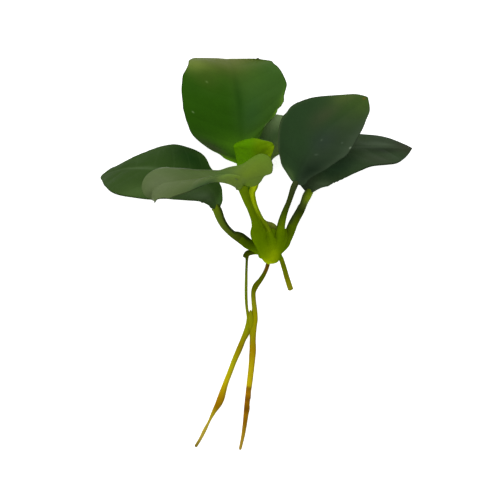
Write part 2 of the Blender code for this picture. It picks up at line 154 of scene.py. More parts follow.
LEAVES = {
    "top": Leaf(
        midrib=[
            (-4.4, 27.1, 10), (-4.8, 34.3, 13.5), (-6, 46.2, 15.5), (-7.4, 55.2, 13), (-9.6, 60, 7),
            (-9.1, 59.5, 0.2),
        ],
        faces=[(-0.06, -0.2, 0.98), (0.05, 0.01, 1), (0.03, 0.92, 0.4), (0, 1, -0.1)],
        stalk=[
            (1.4, 6.5, 10.8, 1.22), (-0.3, 10.8, 10.3, 1.15), (-2.1, 15.7, 9.8, 1.07),
            (-3.7, 21.3, 9.6, 1.01), (-4.4, 26.1, 9.9, 1.07),
        ],
        widths=[
            (13.4, 6.8), (18.7, 7), (18.1, 10.1), (16.9, 14.4), (17.5, 15.6), (18.7, 17.8), (20.9, 20.5),
            (23.1, 23.2),
        ],
        lobe=-0.01,
        cup=0.01,
        nicks=(
            (0, 0.045, 0.02, 0.5), (0, 0.085, 0.02, -0.35), (0, 0.16, 0.07, -0.9), (0, 0.32, 0.04, -0.3),
            (0, 0.44, 0.03, 0.25), (0, 0.68, 0.04, 0.35), (0, 0.8, 0.025, 0.4), (1, 0.27, 0.07, -0.7),
            (1, 0.32, 0.03, 0.45), (1, 0.378, 0.025, -0.8), (1, 0.455, 0.035, -0.8), (1, 0.5, 0.025, -0.3),
            (1, 0.55, 0.05, 0.4), (1, 0.775, 0.03, 1.1),
        ),
    ),
    "left": Leaf(
        midrib=[
            (-12, 13.8, 14), (-14.6, 19.3, 17), (-21.3, 23.5, 18), (-32.4, 25.9, 14), (-41.1, 26.2, 8.2),
            (-48.8, 24.1, 2.95),
        ],
        faces=[(0.17, 0.51, 0.85), (-0.03, 0.75, 0.66), (-0.17, 0.86, 0.48)],
        stalk=[
            (-1.4, 2.3, 11, 1.6), (-3.1, 3, 11.2, 1.55), (-5.5, 4.6, 11.6, 1.45), (-7.9, 6, 12, 1.1),
            (-10.1, 8.2, 12.6, 1.15), (-11.5, 10.6, 13.3, 1.28), (-12.4, 13, 13.8, 1.4),
        ],
        widths=[
            (5, 6.2), (6.6, 5.6), (9.5, 9.6), (13.4, 12.2), (15.2, 14.5), (16.8, 16.6), (17.8, 18.3),
            (20.2, 20.5),
        ],
        lobe=0.05,
        cup=-0.02,
        nicks=(
            (0, 0.05, 0.025, 0.55), (0, 0.24, 0.06, -0.2), (0, 0.38, 0.03, -0.45), (0, 0.5, 0.12, -0.15),
            (0, 0.85, 0.08, 0.9), (0, 0.98, 0.02, 0.4), (1, 0.14, 0.03, 0.3), (1, 0.26, 0.02, -0.5),
            (1, 0.32, 0.05, 0.6), (1, 0.39, 0.04, 0.3), (1, 0.55, 0.12, 0.3), (1, 0.82, 0.1, -2.7),
            (1, 0.975, 0.035, 2.4),
        ),
    ),
    "front": Leaf(
        midrib=[
            (-4.3, 20, 29.8), (-4.6, 22.1, 32.5), (-7.1, 23.1, 35), (-11.4, 22.7, 37.7),
            (-17.1, 21.9, 40.5), (-22.8, 21.2, 43), (-27.8, 20.2, 45), (-30.7, 18, 45.3),
            (-30.2, 15.3, 42.5),
        ],
        faces=[(-0.2, 0.7, 0.7), (-0.2, 0.95, 0.3), (-0.1, 1, 0.2), (-0.2, 0.9, 0.45), (-0.5, 0.7, 0.6)],
        stalk=[
            (1.3, 3.8, 15.6, 1.36), (0.4, 5.6, 16.6, 2), (-0.4, 8, 17.8, 1.7),
            (-1.2, 10.4, 19.3, 1.2), (-2.35, 13.2, 21.8, 1.07), (-3.6, 16.1, 25, 1.2),
            (-4.7, 19.1, 29, 1.4),
        ],
        left_margin=[
            (-4.3, 20, 29.8), (-5.9, 19.2, 31.5), (-8.3, 20.1, 35.5), (-10.8, 20.6, 40.5),
            (-13.6, 20.5, 44.5), (-16.4, 19.5, 47.5), (-19.7, 18, 49.5), (-23.4, 16.8, 50.3),
            (-26.7, 16.2, 50), (-29.1, 15.7, 48), (-30.5, 15.5, 45), (-30.2, 15.3, 42.5),
        ],
        right_margin=[
            (-4.3, 20, 29.8), (-2.1, 20, 29.5), (0.3, 21.4, 29), (1.7, 23, 28.8), (3.7, 23.8, 28.5),
            (4.1, 25.9, 28.2), (3.4, 28.5, 27.6), (1.1, 29.7, 27.2), (-1.2, 29.1, 27),
            (-4.2, 26.8, 27.3), (-8, 25.6, 28), (-12.1, 24.4, 29), (-16.2, 24.3, 30.5),
            (-20.3, 24.7, 32.5), (-24.3, 25.1, 35), (-27.9, 25.2, 38), (-30.9, 24, 41),
            (-32.9, 21.9, 43.5), (-33.6, 19.2, 45), (-32.7, 16.8, 44.6), (-30.2, 15.3, 42.5),
        ],
        arch=1.0,
        nicks=(
            (0, 0.05, 0.03, 0.75), (0, 0.75, 0.03, 1.1), (0, 0.885, 0.012, 1.0), (1, 0.05, 0.03, 0.75),
            (1, 0.47, 0.02, -0.55),
        ),
    ),
    "young": Leaf(
        midrib=[
            (-0.6, 21.6, 16), (-1.4, 26.9, 19.5), (-1.5, 31.8, 22.5), (-1.6, 34.7, 20.8),
            (-1.4, 34.1, 15.6),
        ],
        faces=[(0, -0.53, 0.85), (0, -0.3, 0.95), (0, 0.96, 0.29), (0, 0.96, -0.1)],
        stalk=[
            (4, 4.3, 15.4, 0.76), (2.7, 7.4, 15.2, 0.91), (1, 9.9, 14.9, 0.91),
            (-0.65, 13.2, 14.7, 0.91), (-1.6, 16.2, 14.8, 0.91), (-1.95, 18.6, 15.4, 0.98),
            (-1.2, 20.6, 15.9, 1.1),
        ],
        widths=[(4, 4), (5.2, 5.2), (5.4, 5.4), (6.4, 6.7), (7.4, 7.6), (8.4, 8.4)],
        lobe=0.06,
        cup=-0.05,
        keel=-0.21,
        nicks=((0, 0.25, 0.12, 0.5), (1, 0.11, 0.04, -0.5), (1, 0.26, 0.06, 1.2)),
    ),
    "under": Leaf(
        midrib=[(0.2, 26.4, 3.7), (3.2, 31.8, 5.2), (7.8, 36.4, 5.2), (15, 39, 3.6), (22.8, 40.6, 0.8)],
        faces=[(0, 0, 1), (0, 0.2, 0.98)],
        stalk=[
            (1.7, 6.9, 7.2, 1.16), (-0.2, 11.2, 6.1, 1.08), (-1.8, 16.2, 4.9, 1.01),
            (-1.5, 21.5, 4, 0.93), (0, 25.7, 3.7, 0.93),
        ],
        widths=[
            (2.2, 2.2), (3.1, 3.2), (4.3, 3.8), (7.2, 6.4), (5, 5.2), (4.3, 4.3), (3.8, 3.8), (3.4, 3.4),
        ],
        lobe=0.04,
        nicks=((0, 0.33, 0.1, 1.2), (1, 0.145, 0.03, 0.8)),
    ),
    "right": Leaf(
        midrib=[(11.2, 21, 18), (14.4, 28.6, 23), (19.2, 35.9, 25), (26.6, 42.2, 24), (32.8, 47.2, 19)],
        faces=[(-0.04, 0.02, 1), (-0.03, 0.04, 1), (0.18, 0.2, 0.96)],
        stalk=[
            (6.4, 4.9, 13.7, 1.22), (6.6, 6.4, 13.8, 1.37), (6.8, 8.4, 14, 1.25), (7.35, 10.8, 14.6, 1.08),
            (8.15, 13.2, 15.2, 0.92), (9, 15.3, 15.8, 0.82), (9.8, 17.7, 16.7, 0.85),
            (10.7, 20.4, 17.7, 0.98),
        ],
        widths=[
            (5.6, 7.4), (7.4, 5), (10.8, 7.2), (13, 9.2), (11.1, 9.5), (9.5, 9.1), (9.1, 9.9),
            (12.1, 14.1),
        ],
        lobe=0.06,
        cup=0.03,
        nicks=((0, 0.17, 0.04, 0.5), (0, 0.445, 0.025, -0.5), (1, 0.92, 0.06, 0.4)),
    ),
    "far_right": Leaf(
        midrib=[
            (15.2, 18.5, 10.2), (18.1, 26, 12.2), (26.3, 31.9, 12.2), (34.6, 32.9, 9.5), (48, 32.8, 2.6),
        ],
        faces=[(-0.1, 0.54, 0.83), (-0.08, 0.86, 0.5), (0.08, 0.76, 0.65)],
        stalk=[
            (8.3, 2.9, 9.2, 1.07), (8.7, 4.3, 9.3, 1.4), (9.5, 6.2, 9.6, 1.45), (10.35, 8.5, 9.6, 1.44),
            (11.5, 10.8, 9.6, 1.35), (12.95, 13, 9.7, 1.1), (13.95, 15.6, 10, 1.15),
            (14.9, 17.8, 10.1, 1.35),
        ],
        widths=[
            (7, 6), (8.8, 8.3), (11.1, 11.3), (12.6, 13.2), (12.6, 12.4), (12.5, 13), (12.9, 12.7),
            (13.3, 13.2),
        ],
        lobe=0.02,
        cup=-0.05,
        nicks=((0, 0.07, 0.05, 1.0), (1, 0.12, 0.03, 0.4), (1, 0.15, 0.06, 0.5), (1, 0.74, 0.09, 0.35)),
    ),
}

# Stations of the bud and the roots: x, y, z and radius
BUD = [
    (6, 4.4, 10.2, 0.8), (5.6, 5.7, 10.6, 0.9), (5, 6.8, 10.8, 1.35), (3.9, 8.2, 10.7, 1.4),
    (2.4, 9.4, 10.6, 0.65), (1.9, 10.2, 10.5, 0.25),
]
ROOTS = {
    "main": [
        (3.1, -2.4, 9.9, 0.6), (2.8, -3.9, 9.6, 0.6), (2.1, -5.7, 8.4, 0.62), (0.8, -8, 7, 0.72),
        (-0.7, -10, 5.8, 0.86), (-1.4, -12, 4.6, 0.76), (-1.3, -14.8, 3, 0.72), (-1, -17.7, 1.8, 0.8),
        (-0.9, -20.5, 1.2, 0.87), (-1.25, -23.3, 0.99, 0.87), (-1.6, -27.1, 1.09, 0.97),
        (-1.6, -30.2, 1.17, 1.05), (-1.9, -34, 1.08, 0.96), (-2.3, -38, 1.04, 0.92), (-2.7, -41.4, 1, 0.88),
        (-3.15, -44.6, 0.9, 0.78), (-3.55, -48.9, 0.95, 0.83), (-4, -52.7, 0.82, 0.7),
        (-4.6, -56.8, 0.69, 0.57), (-5.5, -60.9, 0.54, 0.42),
    ],
    "slender": [
        (-0.6, 0.4, 8.8, 0.68), (-2.1, 0.3, 8.7, 0.77), (-3.4, -0.1, 8.4, 0.9), (-3.5, -1.7, 7.8, 0.45),
        (-3.65, -5.2, 6.6, 0.38), (-3.7, -8.9, 5.3, 0.43), (-3.7, -13.9, 3.6, 0.46),
        (-3.45, -17.4, 2.4, 0.45), (-2.95, -20.2, 1.6, 0.62), (-3.4, -23.3, 1, 0.76),
        (-4.7, -27.1, 0.96, 0.84), (-6, -30.2, 1.02, 0.9), (-7.3, -33.2, 0.96, 0.84),
        (-8.8, -37.2, 0.92, 0.8), (-10.3, -41.1, 1, 0.88), (-11.45, -44.8, 1.27, 1.15),
        (-12.4, -47.1, 1.14, 1.02), (-13.7, -49.3, 0.8, 0.68), (-15.2, -52.3, 0.52, 0.4),
        (-16.5, -54.9, 0.65, 0.53), (-17.95, -57.8, 0.6, 0.48), (-19.3, -60, 0.6, 0.45),
    ],
    "stub": [(7.1, -1.6, 9, 0.75), (8.05, -4.5, 7.2, 0.76), (9.1, -8, 5.6, 0.82), (10.15, -11.1, 4.3, 0.84)],
}

# The web where the long roots have grown together
ROOT_WEB = [
    (-2.35, -17.9, 2.5, 0.25), (-2.3, -19, 2.1, 0.6), (-2.2, -20.4, 1.75, 0.8), (-2.2, -22, 1.45, 0.75),
    (-2.35, -23.6, 1.25, 0.5), (-2.45, -24.6, 1.05, 0.25),
]

# The rhizome's core and the sheaths that wrap the foot of each stalk and root: they grow into one crown
SHEATHS = {
    "core": [
        (3.1, -2.9, 10, 0.6), (3.3, -2.3, 10.1, 2.1), (3.5, -1.3, 10.3, 3.1), (3.4, 0, 10.5, 3.6),
        (3.6, 1.9, 10.8, 3.8), (3.6, 4.1, 11, 2.6), (3.5, 5, 11.1, 1.07),
    ],
    "front": [
        (3.2, -0.9, 11.2, 2.2), (2.3, 1.4, 13, 2.35), (0.75, 3.9, 15, 2.3), (-0.1, 6.1, 16.2, 2.45),
        (-0.45, 8.2, 17.6, 1.75), (-0.95, 9.8, 18.9, 1.35),
    ],
    "left": [
        (2.6, 1.2, 10.8, 2.2), (0.4, 1.7, 10.9, 1.9), (-1.4, 2.3, 11, 1.75), (-3.1, 3, 11.2, 1.65),
        (-5.2, 4.5, 11.6, 1.52),
    ],
    "right": [
        (4.4, 0.4, 11, 2), (5.4, 2.6, 12.6, 1.75), (6.2, 4.6, 13.5, 1.5), (6.6, 6.4, 13.8, 1.45),
        (6.8, 8.2, 14, 1.3),
    ],
    "far right": [
        (5, 0.6, 9.8, 1.9), (7, 1.8, 9.4, 1.5), (8.3, 3.1, 9.2, 1.4), (8.7, 4.3, 9.3, 1.48),
        (9.5, 6.2, 9.6, 1.53), (10.3, 8.3, 9.6, 1.5),
    ],
    "web": [(6.2, 2, 11.4, 1.7), (7.4, 4.8, 11.5, 1.5), (7.9, 7, 11.8, 0.8)],
    "fork": [(4.4, 3.4, 12.8, 1.5), (4.6, 5.2, 12.9, 1.2), (4.5, 6.6, 12.5, 0.95), (4.3, 7.3, 11.9, 0.6)],
    "top": [(3.4, 2.4, 10.8, 2), (2.4, 4.6, 10.8, 1.6), (1.4, 6.5, 10.8, 1.35)],
    "under": [(3.4, 2.4, 9.4, 2), (2.6, 4.8, 8.2, 1.6), (1.7, 6.9, 7.2, 1.3)],
    "young": [(4, 1, 12, 1.6), (4.3, 2.8, 14.2, 1.3), (4, 4.3, 15.3, 1.05), (3.2, 6.2, 15.3, 1)],
    "slender root": [(2.2, 0.6, 9.6, 1.3), (0.6, 0.5, 9.2, 0.95), (-0.8, 0.4, 8.9, 0.76)],
    "cut root": [(5.2, 0.8, 9.8, 1.5), (6.2, -0.4, 9.4, 1), (7, -1.7, 8.9, 0.78)],
}

# Sides of a strand that stand out: where this starts, is full, fades and ends, the way out and how far
LIFTS = {
    "left_stalk": [
        (0.08, 0.27, 0.3, 0.36, (0.55, 0.83, 0.2), 0.4), (0.71, 0.73, 0.735, 0.75, (-1, -0.2, 0), 0.25),
    ],
    "far_right_stalk": [(0.36, 0.48, 0.53, 0.58, (-0.87, 0.45, 0.2), 0.4)],
    "main_root": [
        (0.29, 0.33, 0.4, 0.45, (-1, 0, 0), 0.5), (0.7, 0.73, 0.735, 0.76, (1, 0.1, 0.3), 0.25),
        (0.77, 0.79, 0.795, 0.82, (1, 0.1, 0.3), 0.2),
    ],
    "slender_root": [
        (0.02, 0.045, 0.055, 0.075, (-0.8, -0.6, 0.1), 0.8), (0.34, 0.38, 0.43, 0.47, (1, 0, 0), 0.5),
    ],
}


@dataclass
class Look:
    """How a blade is coloured, as it is seen in the studio light, in red, green and blue up to 255: the
    left and right halves, the midrib and the underside. These hold the leaf's own colour together with
    painted light and shade. A patch has its place along and across, how far it spreads along and across,
    its strength and its colour: patches are the leaf's own blotches, painted highlights, painted sheen and
    painted shade. Gloss says how strongly the blade mirrors its surroundings."""

    left: tuple
    right: tuple
    rib: tuple
    under: tuple
    patches: tuple = ()
    gloss: float = 0.012


LOOKS = {
    # The top leaf's bluer right half is partly a painted reflection of the sky, and its pale olive-brown
    # patches near the curled tip, at 0.78, 0.84 and 1 along, are painted glare.
    "top": Look(
        left=(47, 90, 13),
        right=(63, 100, 33),
        rib=(39, 80, 14),
        under=(92, 118, 60),
        patches=(
            (0.02, -0.85, 0.08, 0.5, 1, (119, 179, 10)),
            (0.16, -0.75, 0.09, 0.3, 0.8, (65, 69, 48)),
            (0.24, 0.1, 0.1, 0.5, 0.9, (90, 142, 28)),
            (0.35, 1, 0.12, 0.1, 0.8, (112, 158, 40)),
            (0.5, 0.25, 0.12, 0.25, 0.6, (52, 91, 42)),
            (0.62, 0.02, 0.14, 0.08, 0.5, (30, 70, 13)),
            (0.78, -0.85, 0.07, 0.35, 0.8, (119, 141, 60)),
            (1, 0, 0.17, 3, 1, (112, 108, 49)),
            (0.7, -0.6, 0.06, 0.2, 0.7, (64, 92, 24)),
            (0.84, -0.1, 0.06, 0.5, 0.6, (104, 114, 59)),
            (0.62, 0.8, 0.16, 0.3, 0.6, (58, 93, 34)),
            (0.451, -0.83, 0.005, 0.016, 0.6, (140, 170, 110)),
            (0.68, -0.58, 0.006, 0.022, 0.5, (120, 150, 80)),
        ),
    ),
    "left": Look(
        left=(56, 81, 34),
        right=(52, 78, 30),
        rib=(80, 106, 60),
        under=(92, 116, 62),
        patches=(
            (0.06, 0.3, 0.08, 0.8, 0.7, (88, 125, 59)),
            (0.25, -0.55, 0.13, 0.4, 0.9, (82, 103, 68)),
            (0.45, 0.6, 0.17, 0.45, 0.95, (27, 56, 17)),
            # Painted highlight: the pale streak along the midrib
            (0.78, 0.02, 0.12, 0.07, 0.7, (86, 108, 67)),
            (0.58, -0.8, 0.1, 0.3, 0.7, (78, 103, 52)),
            (1, 0.1, 0.16, 1.2, 0.9, (43, 68, 13)),
        ),
        gloss=0.004,
    ),
    # The front leaf's pale grey-green is partly painted glare, strongest in the grey patch near its tip.
    "front": Look(
        left=(88, 105, 59),
        right=(82, 103, 53),
        rib=(103, 124, 69),
        under=(88, 104, 60),
        patches=(
            (0.2, 0, 0.16, 1.6, 1, (117, 144, 45)),
            (0, 0, 0.07, 1.2, 0.9, (114, 147, 25)),
            (0.5, -1, 0.14, 0.25, 0.8, (54, 82, 44)),
            (0.62, 0.75, 0.1, 0.25, 0.8, (48, 60, 25)),
            (0.46, -0.2, 0.07, 0.4, 0.6, (64, 106, 25)),
            (0.33, -0.5, 0.06, 0.5, 0.5, (127, 158, 67)),
            # Painted glare near the tip
            (0.88, 0, 0.12, 1.2, 0.8, (108, 122, 84)),
            (0.3, 0.9, 0.1, 0.4, 0.7, (102, 141, 32)),
        ),
    ),
    # The young leaf's bright yellow-green is its own colour, made brighter still as a painted glow of light
    # through the thin blade.
    "young": Look(
        left=(91, 145, 1),
        right=(98, 134, 3),
        rib=(103, 151, 5),
        under=(100, 136, 14),
        patches=(
            (0.5, 0.85, 0.2, 0.3, 0.9, (138, 174, 9)),
            (0.75, 0.35, 0.12, 0.3, 0.6, (111, 152, 1)),
            (0.85, -0.9, 0.1, 0.3, 0.7, (62, 92, 1)),
            (0.3, 0.4, 0.1, 0.4, 0.5, (150, 205, 9)),
        ),
    ),
    # The under leaf lies in the shadow of the leaves above it, so its colours are lightened to make up for it
    # (painted light).
    "under": Look(
        left=(84, 115, 66),
        right=(97, 117, 65),
        rib=(104, 132, 84),
        under=(86, 104, 62),
        patches=(
            # Painted highlight on the curled upper margin
            (0.49, -0.9, 0.1, 0.4, 0.9, (167, 194, 137)),
            (0.28, 0.5, 0.12, 0.3, 0.8, (91, 114, 45)),
        ),
    ),
    "right": Look(
        left=(47, 72, 40),
        right=(52, 69, 47),
        rib=(50, 71, 48),
        under=(80, 100, 60),
        patches=(
            (0.1, -0.6, 0.09, 0.35, 0.8, (83, 109, 59)),
            (0.27, 0.4, 0.15, 0.5, 0.9, (31, 48, 30)),
            (0.6, 0.1, 0.1, 0.35, 0.6, (52, 66, 56)),
            (0.7, -0.45, 0.1, 0.25, 0.6, (70, 76, 52)),
            (1, 0.1, 0.2, 2, 1, (70, 95, 39)),
            (0.84, -0.9, 0.1, 0.35, 0.8, (87, 105, 52)),
            (0.6, 1, 0.3, 0.2, 0.7, (72, 88, 65)),
            # Painted highlight along the left margin
            (0.3, -1, 0.22, 0.06, 0.7, (83, 99, 63)),
            (0.582, 0.95, 0.01, 0.018, 0.8, (150, 165, 140)),
            (0.598, 0.08, 0.008, 0.025, 0.5, (96, 114, 90)),
            (0.614, 0.7, 0.008, 0.022, 0.5, (100, 116, 96)),
            (0.467, 0.2, 0.01, 0.05, 0.5, (84, 100, 80)),
            (0.974, -0.25, 0.012, 0.25, 0.7, (124, 96, 30)),
        ),
    ),
    # The far right leaf's paler midrib is partly a painted highlight along its groove.
    "far_right": Look(
        left=(55, 70, 49),
        right=(49, 68, 40),
        rib=(64, 83, 55),
        under=(84, 100, 62),
        patches=(
            (0.14, 0.6, 0.1, 0.5, 0.7, (84, 102, 71)),
            (0.42, 0.4, 0.14, 0.35, 0.8, (48, 73, 48)),
            (0.68, -0.6, 0.1, 0.5, 0.6, (37, 57, 19)),
            (0.82, -0.2, 0.1, 0.2, 0.7, (75, 90, 68)),
            (0.8, 0.3, 0.12, 0.25, 0.7, (24, 33, 19)),
            (1, 0, 0.1, 1.5, 0.8, (57, 55, 44)),
            (0.65, 0.8, 0.1, 0.3, 0.7, (60, 70, 51)),
        ),
        gloss=0.004,
    ),
}

# Colours along the stalks, the bud and the roots: share of the length, then red, green and blue as seen.
# Beside the strands' own colours they hold painted light: the left and the young stalks are lightened
# where the leaves shade them.
TONES = {
    "top_stalk": [
        (0, (94, 127, 8)), (0.25, (112, 146, 16)), (0.5, (95, 134, 18)), (0.75, (82, 124, 6)),
        (1, (71, 107, 12)),
    ],
    "left_stalk": [
        (0, (68, 90, 0)), (0.12, (74, 94, 0)), (0.25, (67, 79, 8)), (0.38, (86, 105, 24)),
        (0.5, (96, 116, 30)), (0.62, (99, 123, 30)), (0.75, (112, 134, 18)), (1, (115, 146, 32)),
    ],
    "front_stalk": [
        (0, (100, 132, 0)), (0.25, (92, 121, 0)), (0.5, (99, 124, 3)), (0.65, (101, 129, 2)),
        (1, (101, 127, 10)),
    ],
    "young_stalk": [
        (0, (122, 145, 8)), (0.25, (126, 153, 12)), (0.38, (160, 186, 18)), (0.5, (182, 210, 22)),
        (0.62, (194, 220, 6)), (0.75, (206, 232, 20)), (0.88, (166, 196, 12)), (1, (138, 162, 8)),
    ],
    "under_stalk": [
        (0, (104, 133, 14)), (0.25, (122, 150, 40)), (0.5, (102, 127, 46)), (0.75, (76, 98, 16)),
        (1, (71, 94, 42)),
    ],
    "right_stalk": [
        (0, (102, 125, 1)), (0.25, (93, 119, 4)), (0.38, (66, 86, 4)), (0.5, (59, 70, 20)),
        (0.62, (54, 65, 27)), (0.75, (64, 76, 37)), (1, (58, 65, 42)),
    ],
    "far_right_stalk": [
        (0, (96, 115, 10)), (0.25, (92, 113, 10)), (0.38, (76, 95, 6)), (0.5, (48, 61, 13)),
        (0.58, (84, 100, 34)), (0.66, (128, 152, 30)), (0.75, (142, 172, 24)), (1, (136, 160, 46)),
    ],
    "bud": [(0, (100, 118, 16)), (0.5, (104, 118, 24)), (0.75, (116, 128, 44)), (1, (92, 104, 36))],
    "main_root": [
        (0, (105, 80, 10)), (0.045, (110, 78, 9)), (0.085, (82, 97, 6)), (0.17, (97, 106, 3)),
        (0.25, (147, 152, 20)), (0.33, (163, 161, 4)), (0.42, (162, 157, 12)), (0.5, (174, 143, 4)),
        (0.58, (198, 177, 17)), (0.675, (210, 188, 15)), (0.688, (152, 108, 12)), (0.72, (176, 126, 10)),
        (0.745, (136, 88, 12)), (0.765, (160, 108, 6)), (0.795, (128, 82, 8)), (0.82, (166, 116, 8)),
        (0.86, (152, 104, 12)), (0.92, (178, 142, 28)), (1, (178, 150, 58)),
    ],
    "slender_root": [
        (0, (85, 99, 6)), (0.06, (60, 74, 2)), (0.08, (68, 85, 12)), (0.17, (116, 134, 32)),
        (0.25, (108, 130, 18)), (0.33, (136, 145, 14)), (0.42, (152, 158, 10)), (0.5, (159, 140, 2)),
        (0.58, (184, 181, 16)), (0.67, (205, 187, 13)), (0.75, (176, 130, 2)), (0.79, (160, 118, 4)),
        (0.83, (188, 168, 30)), (0.94, (198, 174, 66)), (1, (136, 118, 40)),
    ],
    "root_web": [(0, (150, 156, 22)), (0.5, (152, 156, 10)), (0.85, (156, 154, 12)), (1, (120, 96, 10))],
    "cut_root": [
        (0, (120, 136, 3)), (0.17, (102, 115, 4)), (0.4, (108, 119, 4)), (0.6, (120, 121, 3)),
        (0.75, (136, 138, 10)), (0.9, (144, 143, 22)), (1, (132, 129, 20)),
    ],
}

# Sides of a strand that have another colour, partly their own and partly painted light and shade by the
# way they face the lamps: the way they face, the strength, then the colour as seen
SIDE_COLOURS_LIGHT_AND_SHADE = {
    "left_stalk": [((0.7, 0.7, 0), 0.9, (48, 62, 24))],
    "young_stalk": [((-1, -0.2, 0.2), 0.7, (96, 120, 2)), ((1, 0.2, 0.2), 0.5, (104, 122, 10))],
    "right_stalk": [((-1, 0, 0), 0.5, (60, 74, 24))],
    "far_right_stalk": [((-0.9, 0.4, 0.1), 0.8, (62, 76, 38))],
    "bud": [((1, 0.5, 0), 0.7, (126, 134, 60))],
    "main_root": [((1, 0, 0), 0.5, (134, 110, 16))],
    "slender_root": [((1, 0, 0.2), 0.3, (150, 140, 40))],
}

# Colours of the crown about places on it: x, y, z, how far it reaches, strength, then the colour as seen.
# The darker patch in the crease beside the bud is painted shade.
CROWN_TONE = (97, 128, 0)
CROWN_PATCHES = [
    (3.6, 1.2, 14.5, 2.4, 0.8, (125, 153, 3)),
    (4.4, -0.6, 13.2, 2, 0.9, (150, 174, 4)),
    (3.2, -2.8, 11.5, 2.2, 1.0, (172, 192, 6)),
    (-4, 3.4, 12, 3.5, 1.0, (70, 92, 1)),
    (9.4, 7, 10.5, 3.2, 1.0, (80, 102, 5)),
    (6.6, 6.5, 14.5, 1.4, 0.6, (97, 124, 2)),
    # Painted shade in the crease between the feet of the young and the right stalks
    (5.4, 4.4, 14, 0.9, 0.7, (84, 108, 1)),
    (-0.6, 8.4, 17.8, 1.9, 0.9, (93, 122, 0)),
    (3.2, 6.4, 16, 1, 0.5, (108, 136, 5)),
]

# Where across a blade the left half's colour ends, and where the right half's is full
HALVES = (-0.3, 0.35)

# The midrib's line of colour: how wide it is, how strong, and how much of it is gone at the tip
RIB_LINE = 0.7
RIB_STRENGTH = 0.2
RIB_FADE = 0.5

# How strongly the side veins show in the colour and in the bumps
VEIN_STRENGTH = 0.08
VEIN_BUMP_STRENGTH = -0.6

# The darker rim of a blade: where it starts and is full, and how dark it is
RIM = (0.975, 1.0)
RIM_SHADE = 0.4

# The underside: how much paler its veins are, how wide its midrib is, and how strongly each shows
UNDER_VEIN_PALER = 16
UNDER_RIB_LINE = 1.1
UNDER_RIB_STRENGTH = 0.7
UNDER_VEIN_STRENGTH = 0.5

# How far the paints of a blade wander, along and across, and in lumps of what size
PAINT_WANDER_SIZE = 9
PAINT_WANDER_ALONG = 0.02
PAINT_WANDER_ACROSS = 0.07

# How far the tones along a strand wander, and in lumps of what size
TONE_WANDER_SIZE = 0.8
TONE_WANDER = 0.008

# How far the tones on the sides of a strand wander, and how directly a side has to face their way
SIDE_WANDER_SIZE = 1.5
SIDE_WANDER = 0.2
SIDE_EDGE = (0.1, 0.8)

# How the edges of the crown's patches wander
PATCH_WANDER_SIZE = 2
PATCH_WANDER = 0.3

# How strongly the strands and the crown mirror their surroundings
STRAND_GLOSS = 0.0

# How fine the crown's mesh is, and how many times it is smoothed
CROWN_VOXEL = 0.2
CROWN_SMOOTHING = 6


@dataclass
class Finish:
    """How a surface varies. Mottle, bumps and sheen are layers of noise in its brightness, its height and its
    roughness. A layer has the size of its lumps, a seed, its detail and its strength. Depth says how high the
    bumps are, and flecks how dark the flecks."""

    mottle: tuple
    bumps: tuple
    sheen: tuple
    roughness: float
    depth: float
    flecks: float = 0.0


STRAND_BUMPS = ((0.3, 35.0, 3.0, 1.0), (0.1, 36.0, 2.0, 0.3))
STRAND_SHEEN = ((0.6, 37.0, 2.0, 0.1),)
ROOT_MOTTLE = ((0.5, 32.0, 3.0, 0.16), (0.12, 33.0, 2.0, 0.05))
FINISHES = {
    "face": Finish(
        mottle=((4, 13.0, 4.0, 0.1), (0.5, 14.0, 2.0, 0.05)),
        bumps=((0.35, 15.0, 3.0, 0.5), (1.5, 16.0, 2.0, 0.5)),
        sheen=((3, 17.0, 3.0, 0.08),),
        roughness=0.42,
        depth=0.04,
    ),
    "underside": Finish(
        mottle=((3, 21.0, 4.0, 0.1), (0.4, 22.0, 2.0, 0.06)),
        bumps=((0.3, 23.0, 3.0, 0.6),),
        sheen=((3, 24.0, 2.0, 0.06),),
        roughness=0.6,
        depth=0.05,
    ),
    "stalk": Finish(
        mottle=((0.5, 32.0, 3.0, 0.12), (0.12, 33.0, 2.0, 0.05)),
        bumps=STRAND_BUMPS,
        sheen=STRAND_SHEEN,
        roughness=0.42,
        depth=0.05,
    ),
    "root": Finish(ROOT_MOTTLE, STRAND_BUMPS, STRAND_SHEEN, roughness=0.5, depth=0.05, flecks=0.2),
    "root web": Finish(ROOT_MOTTLE, STRAND_BUMPS, STRAND_SHEEN, roughness=0.5, depth=0.05, flecks=0.1),
    "crown": Finish(
        mottle=((1.2, 42.0, 4.0, 0.14), (0.3, 43.0, 2.0, 0.06)),
        bumps=((0.6, 44.0, 3.0, 1.0), (0.15, 45.0, 2.0, 0.3)),
        sheen=((1.2, 46.0, 2.0, 0.08),),
        roughness=0.42,
        depth=0.06,
    ),
}

# How strong the bumps are, and how the flecks of the roots are spread
BUMP_STRENGTH = 0.6
FLECK_SIZE = 0.35
FLECK_EDGE = (0.25, 0.5)

# The table: how large, rough and mottled it is, and how much light it gives back of its own
TABLE_REACH = 2.0
TABLE_ROUGHNESS = 0.9
TABLE_MOTTLE_SIZE = 200
TABLE_MOTTLE = 0.004
TABLE_GLOW = 0.75

# The lamps: where they are and how large, in metres
KEY_LIGHT = ((0.1, 0.9, 1.0), 0.9)
FILL_LIGHT = ((-0.7, -0.7, 0.8), 1.0)

# The spot that the camera looks straight down on, and in metres how near it still sees
CAMERA_SPOT = (-5.6, 4.17)
NEAR_CLIP = 0.01


def plug(tree, value, socket):
    """Gives a socket a value, or links it to the one that works the value out."""
    if isinstance(value, Value):
        value = value.socket
    if isinstance(value, bpy.types.NodeSocket):
        tree.links.new(value, socket)
    else:
        socket.default_value = value


def add(tree, kind, inputs=None, **settings):
    """A new node with these settings and these inputs, by name or number."""
    node = tree.nodes.new(kind)
    for name, value in settings.items():
        setattr(node, name, value)
    for key, value in (inputs or {}).items():
        plug(tree, value, node.inputs[key])
    return node


